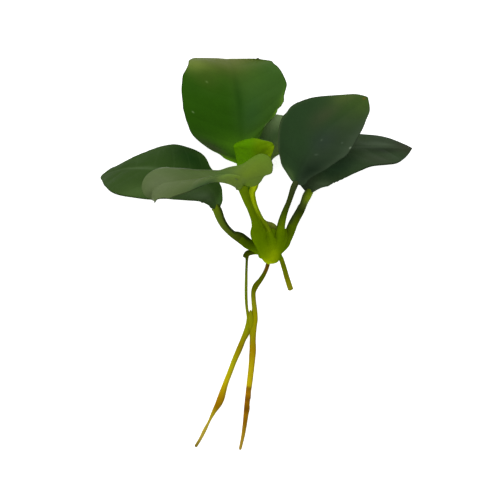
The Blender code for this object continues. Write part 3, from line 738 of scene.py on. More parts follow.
class Value:
    """A number that a node tree works out. Sums with it add nodes to the tree."""

    def __init__(self, tree, socket):
        self.tree = tree
        self.socket = socket

    def maths(self, operation, *others):
        """The result of a Math node's operation on this value and others."""
        inputs = dict(enumerate((self, *others)))
        return Value(self.tree, add(self.tree, "ShaderNodeMath", inputs, operation=operation).outputs[0])

    def __add__(self, other):
        return self.maths("ADD", other)

    def __sub__(self, other):
        return self.maths("SUBTRACT", other)

    def __mul__(self, other):
        return self.maths("MULTIPLY", other)

    def __truediv__(self, other):
        return self.maths("DIVIDE", other)

    def __abs__(self):
        return self.maths("ABSOLUTE")

    def bell(self, width):
        """1 at 0, and less and less away from it, as far as the width goes."""
        share = self / width
        return (share * share * -1.0).maths("EXPONENT")

    def rise(self, low, high):
        """From 0 at low smoothly to 1 at high, which may be the smaller of the two."""
        inputs = {"Value": self, "From Min": low, "From Max": high}
        node = add(self.tree, "ShaderNodeMapRange", inputs, interpolation_type="SMOOTHSTEP")
        return Value(self.tree, node.outputs[0])


def noise(tree, place, size, seed, detail=2.0):
    """Smooth random values from about -1 to 1, whose lumps are about that many millimetres across. Each use
    has a seed of its own, so that no two of them vary alike."""
    inputs = {"Vector": place, "W": seed, "Scale": 1 / (size * MM), "Detail": detail}
    node = add(tree, "ShaderNodeTexNoise", inputs, noise_dimensions="4D")
    return (Value(tree, node.outputs[0]) - 0.5) * 2.0


def mixed(tree, share, first, second):
    """The first colour, with a share of the second in it."""
    return add(tree, "ShaderNodeMix", {0: share, 6: first, 7: second}, data_type="RGBA").outputs[2]


def attribute(tree, name):
    """A number stored on the mesh."""
    if tree.type == "SHADER":
        return Value(tree, add(tree, "ShaderNodeAttribute", attribute_name=name).outputs["Fac"])
    return Value(tree, add(tree, "GeometryNodeInputNamedAttribute", {"Name": name}).outputs["Attribute"])


def vector_attribute(tree, name):
    """A place or direction stored on the mesh."""
    if tree.type == "SHADER":
        return add(tree, "ShaderNodeAttribute", attribute_name=name).outputs["Vector"]
    node = add(tree, "GeometryNodeInputNamedAttribute", {"Name": name}, data_type="FLOAT_VECTOR")
    return node.outputs["Attribute"]


def dot(tree, first, second):
    """How far two ways agree, from -1 to 1."""
    node = add(tree, "ShaderNodeVectorMath", {0: first, 1: second}, operation="DOT_PRODUCT")
    return Value(tree, node.outputs["Value"])


def scaled(tree, vector, share):
    """The vector, made longer or shorter."""
    return add(tree, "ShaderNodeVectorMath", {0: vector, "Scale": share}, operation="SCALE").outputs[0]


def summed(tree, first, second):
    """The sum of two vectors."""
    return add(tree, "ShaderNodeVectorMath", {0: first, 1: second}, operation="ADD").outputs[0]


def side_veins(tree, pairs, place):
    """How far a place is from the nearest side vein, as a share of the way between two, and how clearly the
    veins show there."""
    across = attribute(tree, "across")
    turn = attribute(tree, "along") * pairs + across.maths("SIGN") * VEIN_STEP
    turn = turn + noise(tree, place, VEIN_WANDER_SIZE, 3.0) * VEIN_WANDER
    away = abs(turn.maths("FRACT") - 0.5)
    start, full = VEIN_START
    clear = attribute(tree, "reach").rise(start * MM, full * MM) * abs(across).rise(*VEIN_END)
    return away, clear


def new_tree(name, sizes):
    """A Geometry Nodes tree with these inputs, and its input node."""
    tree = bpy.data.node_groups.new(name, "GeometryNodeTree")
    tree.interface.new_socket("Geometry", in_out="INPUT", socket_type="NodeSocketGeometry")
    tree.interface.new_socket("Geometry", in_out="OUTPUT", socket_type="NodeSocketGeometry")
    for label, (kind, subtype, default) in sizes.items():
        socket = tree.interface.new_socket(label, in_out="INPUT", socket_type="NodeSocket" + kind)
        if subtype:
            socket.subtype = subtype
        if default is not None:
            socket.default_value = default
    return tree, add(tree, "NodeGroupInput")


def close_tree(tree, geometry, material):
    """Ends a tree: shade smooth, realize the instances, set the material."""
    smooth = add(tree, "GeometryNodeSetShadeSmooth", {"Geometry": geometry}).outputs[0]
    real = add(tree, "GeometryNodeRealizeInstances", {"Geometry": smooth}).outputs[0]
    painted = add(tree, "GeometryNodeSetMaterial", {"Geometry": real, "Material": material}).outputs[0]
    add(tree, "NodeGroupOutput", {"Geometry": painted})
    return tree


def relief_tree():
    """The relief of a blade: sunken side veins with the blade quilted between them, a grooved midrib and a
    slight unevenness."""
    sizes = {
        "Vein Pairs": ("Float", None, 9.0),
        "Vein Depth": ("Float", "DISTANCE", 0.00005),
        "Quilting": ("Float", "DISTANCE", 0.0001),
        "Groove Depth": ("Float", "DISTANCE", 0.0002),
        "Unevenness": ("Float", "DISTANCE", 0.00012),
        "Seed": ("Float", None, 1.0),
        "Paint": ("Material", None, None),
    }
    tree, given = new_tree("blade relief", sizes)
    size = {label: Value(tree, given.outputs[label]) for label in list(sizes)[:-1]}
    place = add(tree, "GeometryNodeInputPosition").outputs[0]
    normal = add(tree, "GeometryNodeInputNormal").outputs[0]
    away, clear = side_veins(tree, size["Vein Pairs"], place)
    along = attribute(tree, "along")
    reach = attribute(tree, "reach")
    height = away.rise(0.0, 0.5) * size["Quilting"] * clear
    height = height - away.bell(VEIN_RELIEF) * size["Vein Depth"] * clear
    height = height - reach.bell(GROOVE_WIDTH * MM) * size["Groove Depth"] * (along * -GROOVE_FADE + 1.0)
    height = height + noise(tree, place, UNEVENNESS_SIZE, size["Seed"]) * size["Unevenness"]
    inputs = {"Geometry": given.outputs[0], "Offset": scaled(tree, normal, height)}
    moved = add(tree, "GeometryNodeSetPosition", inputs).outputs[0]
    return close_tree(tree, moved, given.outputs["Paint"])


def strand_tree():
    """A round strand along a line of points, as thick as each says, with ridges and lumps, and pushed out to
    one side where the points say so."""
    sizes = {
        "Sides": ("Int", None, 28),
        "Ridges": ("Float", None, 5.0),
        "Ridge Depth": ("Float", "DISTANCE", 0.00004),
        "Lump Height": ("Float", "DISTANCE", 0.00008),
        "Seed": ("Float", None, 1.0),
        "Paint": ("Material", None, None),
    }
    tree, given = new_tree("strand", sizes)
    curve = add(tree, "GeometryNodeMeshToCurve", {"Mesh": given.outputs[0]}).outputs[0]
    parameter = add(tree, "GeometryNodeSplineParameter")
    for label, output in (("along", "Factor"), ("run", "Length")):
        inputs = {"Geometry": curve, "Name": label, "Value": parameter.outputs[output]}
        curve = add(tree, "GeometryNodeStoreNamedAttribute", inputs).outputs[0]
    inputs = {"Resolution": given.outputs["Sides"], "Radius": 1.0}
    circle = add(tree, "GeometryNodeCurvePrimitiveCircle", inputs)
    rim_place = add(tree, "GeometryNodeInputPosition").outputs[0]
    inputs = {"Geometry": circle.outputs[0], "Name": "rim", "Value": rim_place}
    profile = add(tree, "GeometryNodeStoreNamedAttribute", inputs, data_type="FLOAT_VECTOR").outputs[0]
    thickness = attribute(tree, "thickness")
    inputs = {"Curve": curve, "Profile Curve": profile, "Scale": thickness, "Fill Caps": True}
    tube = add(tree, "GeometryNodeCurveToMesh", inputs).outputs[0]
    rim = vector_attribute(tree, "rim")
    parts = add(tree, "ShaderNodeSeparateXYZ", {0: rim})
    side, front = Value(tree, parts.outputs[0]), Value(tree, parts.outputs[1])
    inputs = {0: side * thickness, 1: front * thickness, 2: attribute(tree, "run") * GRAIN_STRETCH}
    grain = add(tree, "ShaderNodeCombineXYZ", inputs).outputs[0]
    inputs = {"Geometry": tube, "Name": "grain", "Value": grain}
    tube = add(tree, "GeometryNodeStoreNamedAttribute", inputs, data_type="FLOAT_VECTOR").outputs[0]
    grain = vector_attribute(tree, "grain")
    size = {label: Value(tree, given.outputs[label]) for label in list(sizes)[:-1]}
    ridges = (front.maths("ARCTAN2", side) * size["Ridges"]).maths("COSINE")
    lumps = noise(tree, grain, LUMP_SIZE, size["Seed"])
    height = ridges * size["Ridge Depth"] + lumps * size["Lump Height"]
    normal = add(tree, "GeometryNodeInputNormal").outputs[0]
    lift = vector_attribute(tree, "lift")
    way = add(tree, "ShaderNodeVectorMath", {0: lift}, operation="NORMALIZE").outputs[0]
    facing = dot(tree, normal, way).maths("MAXIMUM", 0.0)
    offset = summed(tree, scaled(tree, normal, height), scaled(tree, lift, facing * facing))
    moved = add(tree, "GeometryNodeSetPosition", {"Geometry": tube, "Offset": offset}).outputs[0]
    return close_tree(tree, moved, given.outputs["Paint"])


def shared_strand_tree():
    """The strand's tree, which is made once."""
    return bpy.data.node_groups.get("strand") or strand_tree()


def apply_tree(source, tree, values):
    """Adds the tree to an object as a modifier, with its inputs set by their identifiers."""
    modifier = source.modifiers.new(tree.name, "NODES")
    modifier.node_group = tree
    for item in tree.interface.items_tree:
        if item.name in values:
            modifier[item.identifier] = values[item.name]


def made_plain(source):
    """Gives an object the mesh that its modifiers make, and removes them."""
    graph = bpy.context.evaluated_depsgraph_get()
    made = source.evaluated_get(graph)
    mesh = bpy.data.meshes.new_from_object(made, preserve_all_data_layers=True, depsgraph=graph)
    source.modifiers.clear()
    source.data = mesh
    mesh.name = source.name
    return source


def place_object(name, mesh):
    """An object with this mesh in the scene."""
    made = bpy.data.objects.new(name, mesh)
    bpy.context.scene.collection.objects.link(made)
    return made


def between(before, start, end, after, t):
    """The values at t, from 0 to 1, on the smooth stretch from start to end."""
    values = []
    for a, b, c, d in zip(before, start, end, after):
        slope_in, slope_out = (c - a) / 2, (d - b) / 2
        square = 3 * (c - b) - 2 * slope_in - slope_out
        cube = 2 * (b - c) + slope_in + slope_out
        values.append(b + slope_in * t + square * t**2 + cube * t**3)
    return tuple(values)


def smooth_line(stations, stretches):
    """Points of a smooth curve through the stations, whose values past x, y and z run as smoothly."""
    line = []
    last = len(stations) - 1
    for i in range(last):
        neighbours = (stations[max(i - 1, 0)], stations[i], stations[i + 1], stations[min(i + 2, last)])
        line += [between(*neighbours, step / stretches) for step in range(stretches)]
    line.append(tuple(map(float, stations[-1])))
    return line


class Line:
    """A smooth line through stations. A share of its length, from 0 to 1, gives a place on it."""

    def __init__(self, stations):
        self.points = [Vector(p) for p in smooth_line(stations, LINE_STRETCHES)]
        self.lengths = [0.0]
        for a, b in zip(self.points, self.points[1:]):
            self.lengths.append(self.lengths[-1] + (b - a).length)

    def at(self, share):
        """The point there, and the way ahead."""
        wanted = min(max(share, 0.0), 1.0) * self.lengths[-1]
        last = len(self.points) - 1
        i = 1
        while i < last and self.lengths[i] < wanted:
            i += 1
        low, high = self.lengths[i - 1], self.lengths[i]
        point = self.points[i - 1].lerp(self.points[i], (wanted - low) / (high - low))
        ahead = (self.points[min(i + 1, last)] - self.points[max(i - 2, 0)]).normalized()
        if share < 0:
            point = point + ahead * (share * self.lengths[-1])
        return point, ahead


class Blade:
    """The upper face of a leaf's blade, on which u and v give a place. u runs from 0 at the stalk to 1 at
    the tip, measured at the margin, and v from -1 at the left margin over 0 on the midrib to 1 at the right
    one."""

    def __init__(self, leaf):
        self.leaf = leaf
        self.midrib = Line(leaf.midrib)
        self.faces = [Vector(f) for f in smooth_line(leaf.faces, LINE_STRETCHES)]
        self.margins = [Line(margin) for margin in (leaf.left_margin, leaf.right_margin) if margin]

    def frame(self, along):
        """The midrib's point at that share of its length, and the ways across the leaf and out of it."""
        point, ahead = self.midrib.at(along)
        step = min(max(along, 0.0), 1.0) * (len(self.faces) - 1)
        i = min(int(step), len(self.faces) - 2)
        face = self.faces[i].lerp(self.faces[i + 1], step - i)
        across = ahead.cross(face).normalized()
        return point, across, across.cross(ahead).normalized()

    def nick(self, u, side):
        """How far the margin stands out at u, beyond its smooth line."""
        return sum(
            out * math.exp(-(((u - place) / reach) ** 2))
            for nick_side, place, reach, out in self.leaf.nicks
            if nick_side == side
        )

    def half_width(self, u, side):
        """The half-width at u, left on side 0 and right on side 1."""
        if not 0 < u < 1:
            return 0.0
        widths = self.leaf.widths
        last = len(widths) - 1
        i = min(int(u * last), last - 1)
        neighbours = (widths[max(i - 1, 0)], widths[i], widths[i + 1], widths[min(i + 2, last)])
        rounded = math.sin(math.pi * u**WIDEST_EARLY) ** (BASE_ROUNDNESS + TIP_POINT * u)
        return between(*neighbours, u * last - i)[side] * rounded + self.nick(u, side)

    def place(self, u, v):
        """The point of the face at u and v."""
        t = abs(v)
        side = int(v > 0)
        inner = u - VEIN_SWEEP * math.sin(math.pi * u)
        if self.margins:
            point, _, out = self.frame(inner)
            edge, _ = self.margins[side].at(u)
            if 0 < u < 1:
                edge = edge + (edge - point).normalized() * self.nick(u, side)
            return point.lerp(edge, t) + out * (self.leaf.arch * 4 * t * (1 - t) * math.sin(math.pi * u))
        outer = u - self.leaf.lobe * math.sin(math.pi * min(u / LOBE_REACH, 1))
        point, across, out = self.frame(inner + (outer - inner) * t**VEIN_BEND)
        width = self.half_width(u, side)
        wave = math.sin(math.tau * RIPPLE_WAVES * u + RIGHT_RIPPLE_LAG * side) * math.sin(math.pi * u)
        lift = (self.leaf.cup * width + RIPPLE * wave) * t**2 + self.leaf.keel * width * t
        return point + across * math.copysign(width * t, v) + out * lift


def blade_sheet(name, leaf, sizes):
    """The upper face of a blade as a mesh. Each point keeps its place along and across, how far it is from
    the midrib, and how deep the blade is there as a share of the rib's depth."""
    face = Blade(leaf)
    bm = bmesh.new()
    bmesh.ops.create_grid(bm, x_segments=ROWS, y_segments=2 * HALF_COLUMNS, size=1.0)
    bmesh.ops.reverse_faces(bm, faces=bm.faces)
    layers = {label: bm.verts.layers.float.new(label) for label in ("along", "across", "reach", "share")}
    thin = sizes.margin_depth / sizes.rib_depth
    for vert in bm.verts:
        u = (1 - math.cos(math.pi * (vert.co.x + 1) / 2)) / 2
        v = math.copysign(abs(vert.co.y) ** COLUMN_CROWDING, vert.co.y)
        here = face.place(u, v)
        reach = (here - face.place(u, 0.0)).length * MM
        rib = (1 - sizes.rib_taper * u) * math.exp(-((reach / sizes.rib_half_width) ** 2))
        rib *= min(u / RIB_START, 1)
        values = {"along": u, "across": v, "reach": reach, "share": thin + (1 - thin) * rib}
        for label, value in values.items():
            vert[layers[label]] = value
        vert.co = here * MM
    bmesh.ops.remove_doubles(bm, verts=bm.verts, dist=WELD * MM)
    shares = [vert[layers["share"]] for vert in bm.verts]
    mesh = bpy.data.meshes.new(name)
    bm.to_mesh(mesh)
    bm.free()
    sheet = place_object(name, mesh)
    group = sheet.vertex_groups.new(name="depth")
    for index, share in enumerate(shares):
        group.add([index], share, "REPLACE")
    return sheet


def make_blade(name, leaf, look, sizes, tint, tree, seed):
    """A leaf's blade: its upper face with its relief, made solid downwards."""
    label = name + "_blade"
    sheet = blade_sheet(label, leaf, sizes)
    above = blade_paint(label, look, sizes, tint)
    sheet.data.materials.append(above)
    sheet.data.materials.append(underside_paint(label + "_underside", look, sizes, tint))
    values = {
        "Vein Pairs": sizes.vein_pairs,
        "Vein Depth": sizes.vein_depth,
        "Quilting": sizes.quilting,
        "Groove Depth": sizes.groove_depth,
        "Unevenness": sizes.unevenness,
        "Seed": seed,
        "Paint": above,
    }
    apply_tree(sheet, tree, values)
    thickness = sheet.modifiers.new("thickness", "SOLIDIFY")
    thickness.thickness = sizes.rib_depth
    thickness.offset = -1
    thickness.vertex_group = "depth"
    thickness.material_offset = 1
    return made_plain(sheet)


def lift_at(lifts, share):
    """How far a strand's side is pushed out at a share of its length, and which way."""
    total = Vector()
    for start, full, fades, end, way, height in lifts:
        if start < share < end:
            rise = min((share - start) / (full - start), (end - share) / (end - fades), 1)
            total += Vector(way).normalized() * (height * rise * rise * (3 - 2 * rise))
    return total


def domed(line, at_end):
    """Points that round off a line's end, or its start."""
    tip, before = (line[-1], line[-2]) if at_end else (line[0], line[1])
    ahead = (Vector(tip[:3]) - Vector(before[:3])).normalized()
    radius = tip[3]
    points = []
    for step in range(1, DOME_STEPS + 1):
        turn = math.pi / 2 * step / DOME_STEPS
        spot = Vector(tip[:3]) + ahead * (radius * math.sin(turn))
        points.append((*spot, radius * max(math.cos(turn), DOME_TIP)))
    return points


def strand_line(name, stations, lifts, domes):
    """An object with the points of a strand in a row, and how thick it is and where it is pushed out at each
    of them."""
    line = smooth_line(stations, STRAND_STRETCHES)
    start = list(reversed(domed(line, False))) if domes[0] else []
    end = domed(line, True) if domes[1] else []
    line = start + line + end
    mesh = bpy.data.meshes.new(name)
    edges = [(i, i + 1) for i in range(len(line) - 1)]
    mesh.from_pydata([tuple(c * MM for c in p[:3]) for p in line], edges, [])
    runs = [0.0]
    for a, b in zip(line, line[1:]):
        runs.append(runs[-1] + (Vector(b[:3]) - Vector(a[:3])).length)
    thickness = mesh.attributes.new("thickness", "FLOAT", "POINT")
    lift = mesh.attributes.new("lift", "FLOAT_VECTOR", "POINT")
    for i, point in enumerate(line):
        thickness.data[i].value = point[3] * MM
        lift.data[i].vector = lift_at(lifts, runs[i] / runs[-1]) * MM
    return place_object(name, mesh)


def make_strand(name, stations, finish, tree, sizes, seed, domes=(True, True)):
    """A strand with its relief and its finish."""
    source = strand_line(name, stations, LIFTS.get(name, ()), domes)
    values = {
        "Sides": sizes.sides,
        "Ridges": sizes.ridges,
        "Ridge Depth": sizes.ridge_depth,
        "Lump Height": sizes.lump_height,
        "Seed": seed,
        "Paint": finish,
    }
    apply_tree(source, tree, values)
    return made_plain(source)


def paint(red, green, blue):
    """The colour of a finish that is seen as these bytes in the studio light."""
    levels = []
    for byte in (red, green, blue):
        level = byte / 255
        linear = level / 12.92 if level <= 0.04045 else ((level + 0.055) / 1.055) ** 2.4
        levels.append(min(linear / STUDIO_LIGHT, 1.0))
    return (*levels, 1.0)


def new_paint(name, gloss):
    """A new material, its tree and its shader."""
    material = bpy.data.materials.new(name)
    material.use_nodes = True
    tree = material.node_tree
    shader = tree.nodes["Principled BSDF"]
    shader.inputs["Specular IOR Level"].default_value = gloss
    return material, tree, shader


def brighter(tree, colour, share, tint):
    """The colour made brighter or darker, under a tint."""
    colour = add(tree, "ShaderNodeHueSaturation", {"Color": colour, "Value": share + 1.0}).outputs[0]
    inputs = {0: 1.0, 6: colour, 7: (*tint, 1.0)}
    return add(tree, "ShaderNodeMix", inputs, data_type="RGBA", blend_type="MULTIPLY").outputs[2]


def layered(tree, place, layers):
    """Layers of noise on each other, each with its size, seed, detail and strength."""
    total = None
    for size, seed, detail, strength in layers:
        layer = noise(tree, place, size, seed, detail) * strength
        total = total + layer if total else layer
    return total


def vary(tree, shader, place, finish, colour, tint, shade=None, relief=None):
    """Gives a shader its colour under a tint, with its mottling, bumps and roughness. Shade darkens the
    mottling, and relief adds to the bumps."""
    mottle = layered(tree, place, finish.mottle)
    if shade:
        mottle = mottle - shade
    plug(tree, brighter(tree, colour, mottle, tint), shader.inputs["Base Color"])
    height = layered(tree, place, finish.bumps)
    if relief:
        height = height + relief
    inputs = {"Height": height, "Strength": BUMP_STRENGTH, "Distance": finish.depth * MM}
    plug(tree, add(tree, "ShaderNodeBump", inputs).outputs[0], shader.inputs["Normal"])
    plug(tree, layered(tree, place, finish.sheen) + finish.roughness, shader.inputs["Roughness"])


def blade_paint(name, look, sizes, tint):
    """The upper face of a blade: two halves, patches that include painted highlights and painted shade,
    paler veins, a dark margin and fine mottling.
    """
    material, tree, shader = new_paint(name, look.gloss)
    place = add(tree, "ShaderNodeTexCoord").outputs["Object"]
    along, across, reach = (attribute(tree, label) for label in ("along", "across", "reach"))
    u = along + noise(tree, place, PAINT_WANDER_SIZE, 11.0) * PAINT_WANDER_ALONG
    v = across + noise(tree, place, PAINT_WANDER_SIZE, 12.0) * PAINT_WANDER_ACROSS
    # The two halves; on the top leaf the right half's bluer colour is partly a painted reflection of the sky
    colour = mixed(tree, v.rise(*HALVES), paint(*look.left), paint(*look.right))
    # Patches: the leaf's own blotches, painted highlights and painted shade
    for at_u, at_v, long, wide, strength, tone in look.patches:
        far = ((u - at_u) / long).maths("POWER", 2.0) + ((v - at_v) / wide).maths("POWER", 2.0)
        share = (far * -1.0).maths("EXPONENT") * strength
        colour = mixed(tree, share, colour, paint(*tone))
    away, clear = side_veins(tree, sizes.vein_pairs, place)
    rib = reach.bell(RIB_LINE * MM) * RIB_STRENGTH * (along * -RIB_FADE + 1.0)
    colour = mixed(tree, rib, colour, paint(*look.rib))
    colour = mixed(tree, away.bell(VEIN_LINE) * clear * VEIN_STRENGTH, colour, paint(*look.rib))
    shade = abs(across).rise(*RIM) * RIM_SHADE
    relief = away.bell(VEIN_BUMP) * clear * VEIN_BUMP_STRENGTH
    vary(tree, shader, place, FINISHES["face"], colour, tint, shade, relief)
    return material


def underside_paint(name, look, sizes, tint):
    """The paler and duller underside of a blade, with its veins standing out."""
    material, tree, shader = new_paint(name, look.gloss)
    place = add(tree, "ShaderNodeTexCoord").outputs["Object"]
    away, clear = side_veins(tree, sizes.vein_pairs, place)
    pale = paint(*(min(byte + UNDER_VEIN_PALER, 255) for byte in look.under))
    rib = attribute(tree, "reach").bell(UNDER_RIB_LINE * MM) * UNDER_RIB_STRENGTH
    colour = mixed(tree, rib, paint(*look.under), pale)
    colour = mixed(tree, away.bell(UNDER_VEIN_LINE) * clear * UNDER_VEIN_STRENGTH, colour, pale)
    relief = away.bell(UNDER_VEIN_BUMP) * clear
    vary(tree, shader, place, FINISHES["underside"], colour, tint, relief=relief)
    return material


def ramp(tree, share, tones):
    """Colours along a strand."""
    node = add(tree, "ShaderNodeValToRGB", {"Fac": share})
    elements = node.color_ramp.elements
    while len(elements) < len(tones):
        elements.new(0.5)
    for element, (place, tone) in zip(elements, tones):
        element.position = place
        element.color = paint(*tone)
    return node.outputs["Color"]


def strand_paint(name, tint, finish):
    """A stalk or root: colours along it, colours on its sides that are partly painted light and shade,
    streaks that run with it, and dark flecks.
    """
    material, tree, shader = new_paint(name, STRAND_GLOSS)
    grain = vector_attribute(tree, "grain")
    along = attribute(tree, "along") + noise(tree, grain, TONE_WANDER_SIZE, 31.0) * TONE_WANDER
    colour = ramp(tree, along, TONES[name])
    normal = add(tree, "ShaderNodeTexCoord").outputs["Normal"]
    # Colours on the sides that face one way: partly their own, partly painted light and shade
    for way, strength, tone in SIDE_COLOURS_LIGHT_AND_SHADE.get(name, ()):
        wander = noise(tree, grain, SIDE_WANDER_SIZE, 38.0) * SIDE_WANDER
        facing = dot(tree, normal, Vector(way).normalized()) + wander
        colour = mixed(tree, facing.rise(*SIDE_EDGE) * strength, colour, paint(*tone))
    shade = None
    if finish.flecks:
        shade = noise(tree, grain, FLECK_SIZE, 34.0, 3.0).rise(*FLECK_EDGE) * finish.flecks
    vary(tree, shader, grain, finish, colour, tint, shade)
    return material


def crown_paint(name, tint):
    """The crown: its tone with patches about places on it, and mottling."""
    material, tree, shader = new_paint(name, STRAND_GLOSS)
    place = add(tree, "ShaderNodeTexCoord").outputs["Object"]
    colour = paint(*CROWN_TONE)
    for x, y, z, reach, strength, tone in CROWN_PATCHES:
        inputs = {0: place, 1: (x * MM, y * MM, z * MM)}
        far = Value(tree, add(tree, "ShaderNodeVectorMath", inputs, operation="DISTANCE").outputs["Value"])
        far = far + noise(tree, place, PATCH_WANDER_SIZE, 41.0) * (PATCH_WANDER * MM)
        colour = mixed(tree, far.bell(reach * MM) * strength, colour, paint(*tone))
    vary(tree, shader, place, FINISHES["crown"], colour, tint)
    return material


def length_setting(name, description, default):
    """A length that a user can set."""
    return bpy.props.FloatProperty(
        name=name, description=description, default=default, min=0.0, max=0.01, precision=5, unit="LENGTH"
    )


def number_setting(name, description, default, most=100.0):
    """A number that a user can set."""
    return bpy.props.FloatProperty(name=name, description=description, default=default, min=0.0, max=most)


def colour_setting(name, description, default=(1.0, 1.0, 1.0)):
    """A colour that a user can set."""
    return bpy.props.FloatVectorProperty(
        name=name, description=description, default=default, min=0.0, max=1.0, size=3, subtype="COLOR"
    )


def power_setting(name, description, default):
    """The power of a light, which a user can set."""
    return bpy.props.FloatProperty(name=name, description=description, default=default, unit="POWER")


class AnubiasBladeSizes(bpy.types.PropertyGroup):
    """Sizes that all the blades share."""

    rib_depth: length_setting("Rib depth", "How thick a blade is along its midrib, at the stalk", 0.0015)
    margin_depth: length_setting("Margin depth", "How thick a blade is at its margin", 0.0003)
    rib_half_width: length_setting("Rib half-width", "How far the thick part reaches from the midrib", 0.0012)
    rib_taper: number_setting("Rib taper", "How much of the rib's depth is gone at the tip", 0.72, 1.0)
    vein_pairs: number_setting("Vein pairs", "Pairs of side veins on a blade", 9.0)
    vein_depth: length_setting("Vein depth", "How far the side veins are sunk", 0.00005)
    quilting: length_setting("Quilting", "How far the blade bulges between two side veins", 0.0001)
    groove_depth: length_setting("Groove depth", "How far the midrib is sunk at the stalk", 0.0002)
    unevenness: length_setting("Unevenness", "How far the face departs from a smooth one", 0.00012)


class AnubiasStrandSizes(bpy.types.PropertyGroup):
    """Sizes that the stalks, the crown's sheaths, the bud and the roots share."""

    sides: bpy.props.IntProperty(name="Sides", description="Faces round a strand", default=28, min=8, max=64)
    ridges: number_setting("Ridges", "Ridges round a strand", 5.0)
    ridge_depth: length_setting("Ridge depth", "How far the ridges stand out", 0.00004)
    lump_height: length_setting("Lump height", "How far the lumps stand out", 0.00008)


class AnubiasColours(bpy.types.PropertyGroup):
    """Tints over the plant's own colours. White leaves them as they are."""

    leaves: colour_setting("Dark leaves", "Tint over the dark leaves")
    front_leaf: colour_setting("Front leaf", "Tint over the dull leaf that folds over in front")
    young_leaf: colour_setting("Young leaf", "Tint over the bright young leaf")
    stalks: colour_setting("Stalks", "Tint over the leaf stalks")
    crown: colour_setting("Crown", "Tint over the crown")
    bud: colour_setting("Bud", "Tint over the bud")
    roots: colour_setting("Roots", "Tint over the roots")


class AnubiasStudio(bpy.types.PropertyGroup):
    """The table, the lights and the camera."""

    table_colour: colour_setting("Table", "Colour of the table", (0.8, 0.8, 0.8))
    key_power: power_setting("Key light", "Power of the key light", 11.0)
    fill_power: power_setting("Fill light", "Power of the fill light", 7.0)
    sky: number_setting("Sky", "Brightness of the light from all round", 0.42, 10.0)
    camera_height: bpy.props.FloatProperty(
        name="Camera height", description="How far above the table the camera is", default=0.5, unit="LENGTH"
    )
    lens: bpy.props.FloatProperty(
        name="Lens", description="Focal length of the camera in millimetres", default=120.0, unit="CAMERA"
    )


def dress(piece, slot, *nodes):
    """Hangs a finished piece on the root body and hides the solids it stands for. The slot is not used."""
    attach(piece, "root")
    if nodes:
        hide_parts(*nodes)


class ANUBIAS_OT_blades(bpy.types.Operator):
    """Make the seven blades"""

    bl_idname = "anubias.blades"
    bl_label = "Blades"

    def execute(self, context):
        tree = relief_tree()
        sizes, tints = context.scene.anubias_blades, context.scene.anubias_colours
        slots = {"front": "leaf_pale", "young": "leaf_young"}
        for seed, (name, leaf) in enumerate(LEAVES.items()):
            tint = getattr(tints, name + "_leaf", tints.leaves)
            piece = make_blade(name, leaf, LOOKS[name], sizes, tint, tree, float(seed))
            dress(piece, slots.get(name, "leaf"), "leaf_" + name)
        return {"FINISHED"}


class ANUBIAS_OT_stalks(bpy.types.Operator):
    """Make the seven stalks"""

    bl_idname = "anubias.stalks"
    bl_label = "Stalks"

    def execute(self, context):
        tree = shared_strand_tree()
        sizes, tint = context.scene.anubias_strands, context.scene.anubias_colours.stalks
        for seed, (name, leaf) in enumerate(LEAVES.items()):
            face = Blade(leaf)
            stations = list(leaf.stalk)
            radius = stations[-1][3]
            for along, share in STALK_TAPER if leaf.widths else ():
                point, _, out = face.frame(along)
                point = point - out * (radius * share + STALK_SINK)
                stations.append((*point, radius * share))
            label = name + "_stalk"
            finish = strand_paint(label, tint, FINISHES["stalk"])
            piece = make_strand(label, stations, finish, tree, sizes, STALK_SEED + seed)
            dress(piece, "stalk", "stalk_" + name)
        return {"FINISHED"}


class ANUBIAS_OT_crown(bpy.types.Operator):
    """Make the crown, where the rhizome and the sheaths round the stalks grow together"""

    bl_idname = "anubias.crown"
    bl_label = "Crown"

    def execute(self, context):
        tree = shared_strand_tree()
        sizes = context.scene.anubias_strands
        finish = crown_paint("crown", context.scene.anubias_colours.crown)
        bm = bmesh.new()
        for seed, (name, stations) in enumerate(SHEATHS.items()):
            part = make_strand(name, stations, finish, tree, sizes, SHEATH_SEED + seed)
            bm.from_mesh(part.data)
            bpy.data.objects.remove(part)
        mesh = bpy.data.meshes.new("crown")
        bm.to_mesh(mesh)
        bm.free()
        piece = place_object("crown", mesh)
        mesh.materials.clear()
        mesh.materials.append(finish)
        remesh = piece.modifiers.new("grown together", "REMESH")
        remesh.mode = "VOXEL"
        remesh.voxel_size = CROWN_VOXEL * MM
        remesh.use_smooth_shade = True
        smooth = piece.modifiers.new("softened", "SMOOTH")
        smooth.iterations = CROWN_SMOOTHING
        dress(made_plain(piece), "rhizome", "rhizome")
        return {"FINISHED"}


class ANUBIAS_OT_bud(bpy.types.Operator):
    """Make the bud in the crown's fork"""

    bl_idname = "anubias.bud"
    bl_label = "Bud"

    def execute(self, context):
        sizes, tint = context.scene.anubias_strands, context.scene.anubias_colours.bud
        finish = strand_paint("bud", tint, FINISHES["stalk"])
        piece = make_strand("bud_scale", BUD, finish, shared_strand_tree(), sizes, BUD_SEED)
        dress(piece, "bud", "bud")
        return {"FINISHED"}


class ANUBIAS_OT_roots(bpy.types.Operator):
    """Make the three roots"""

    bl_idname = "anubias.roots"
    bl_label = "Roots"

    def execute(self, context):
        tree = shared_strand_tree()
        sizes, tint = context.scene.anubias_strands, context.scene.anubias_colours.roots
        names = {"main": "main_root", "slender": "slender_root", "stub": "cut_root"}
        for seed, (name, stations) in enumerate(ROOTS.items()):
            finish = strand_paint(names[name], tint, FINISHES["root"])
            domes = (True, name != "stub")
            piece = make_strand(names[name], stations, finish, tree, sizes, ROOT_SEED + seed, domes)
            dress(piece, "root", "root_" + name)
        finish = strand_paint("root_web", tint, FINISHES["root web"])
        dress(make_strand("root_web", ROOT_WEB, finish, tree, sizes, WEB_SEED), "root")
        return {"FINISHED"}


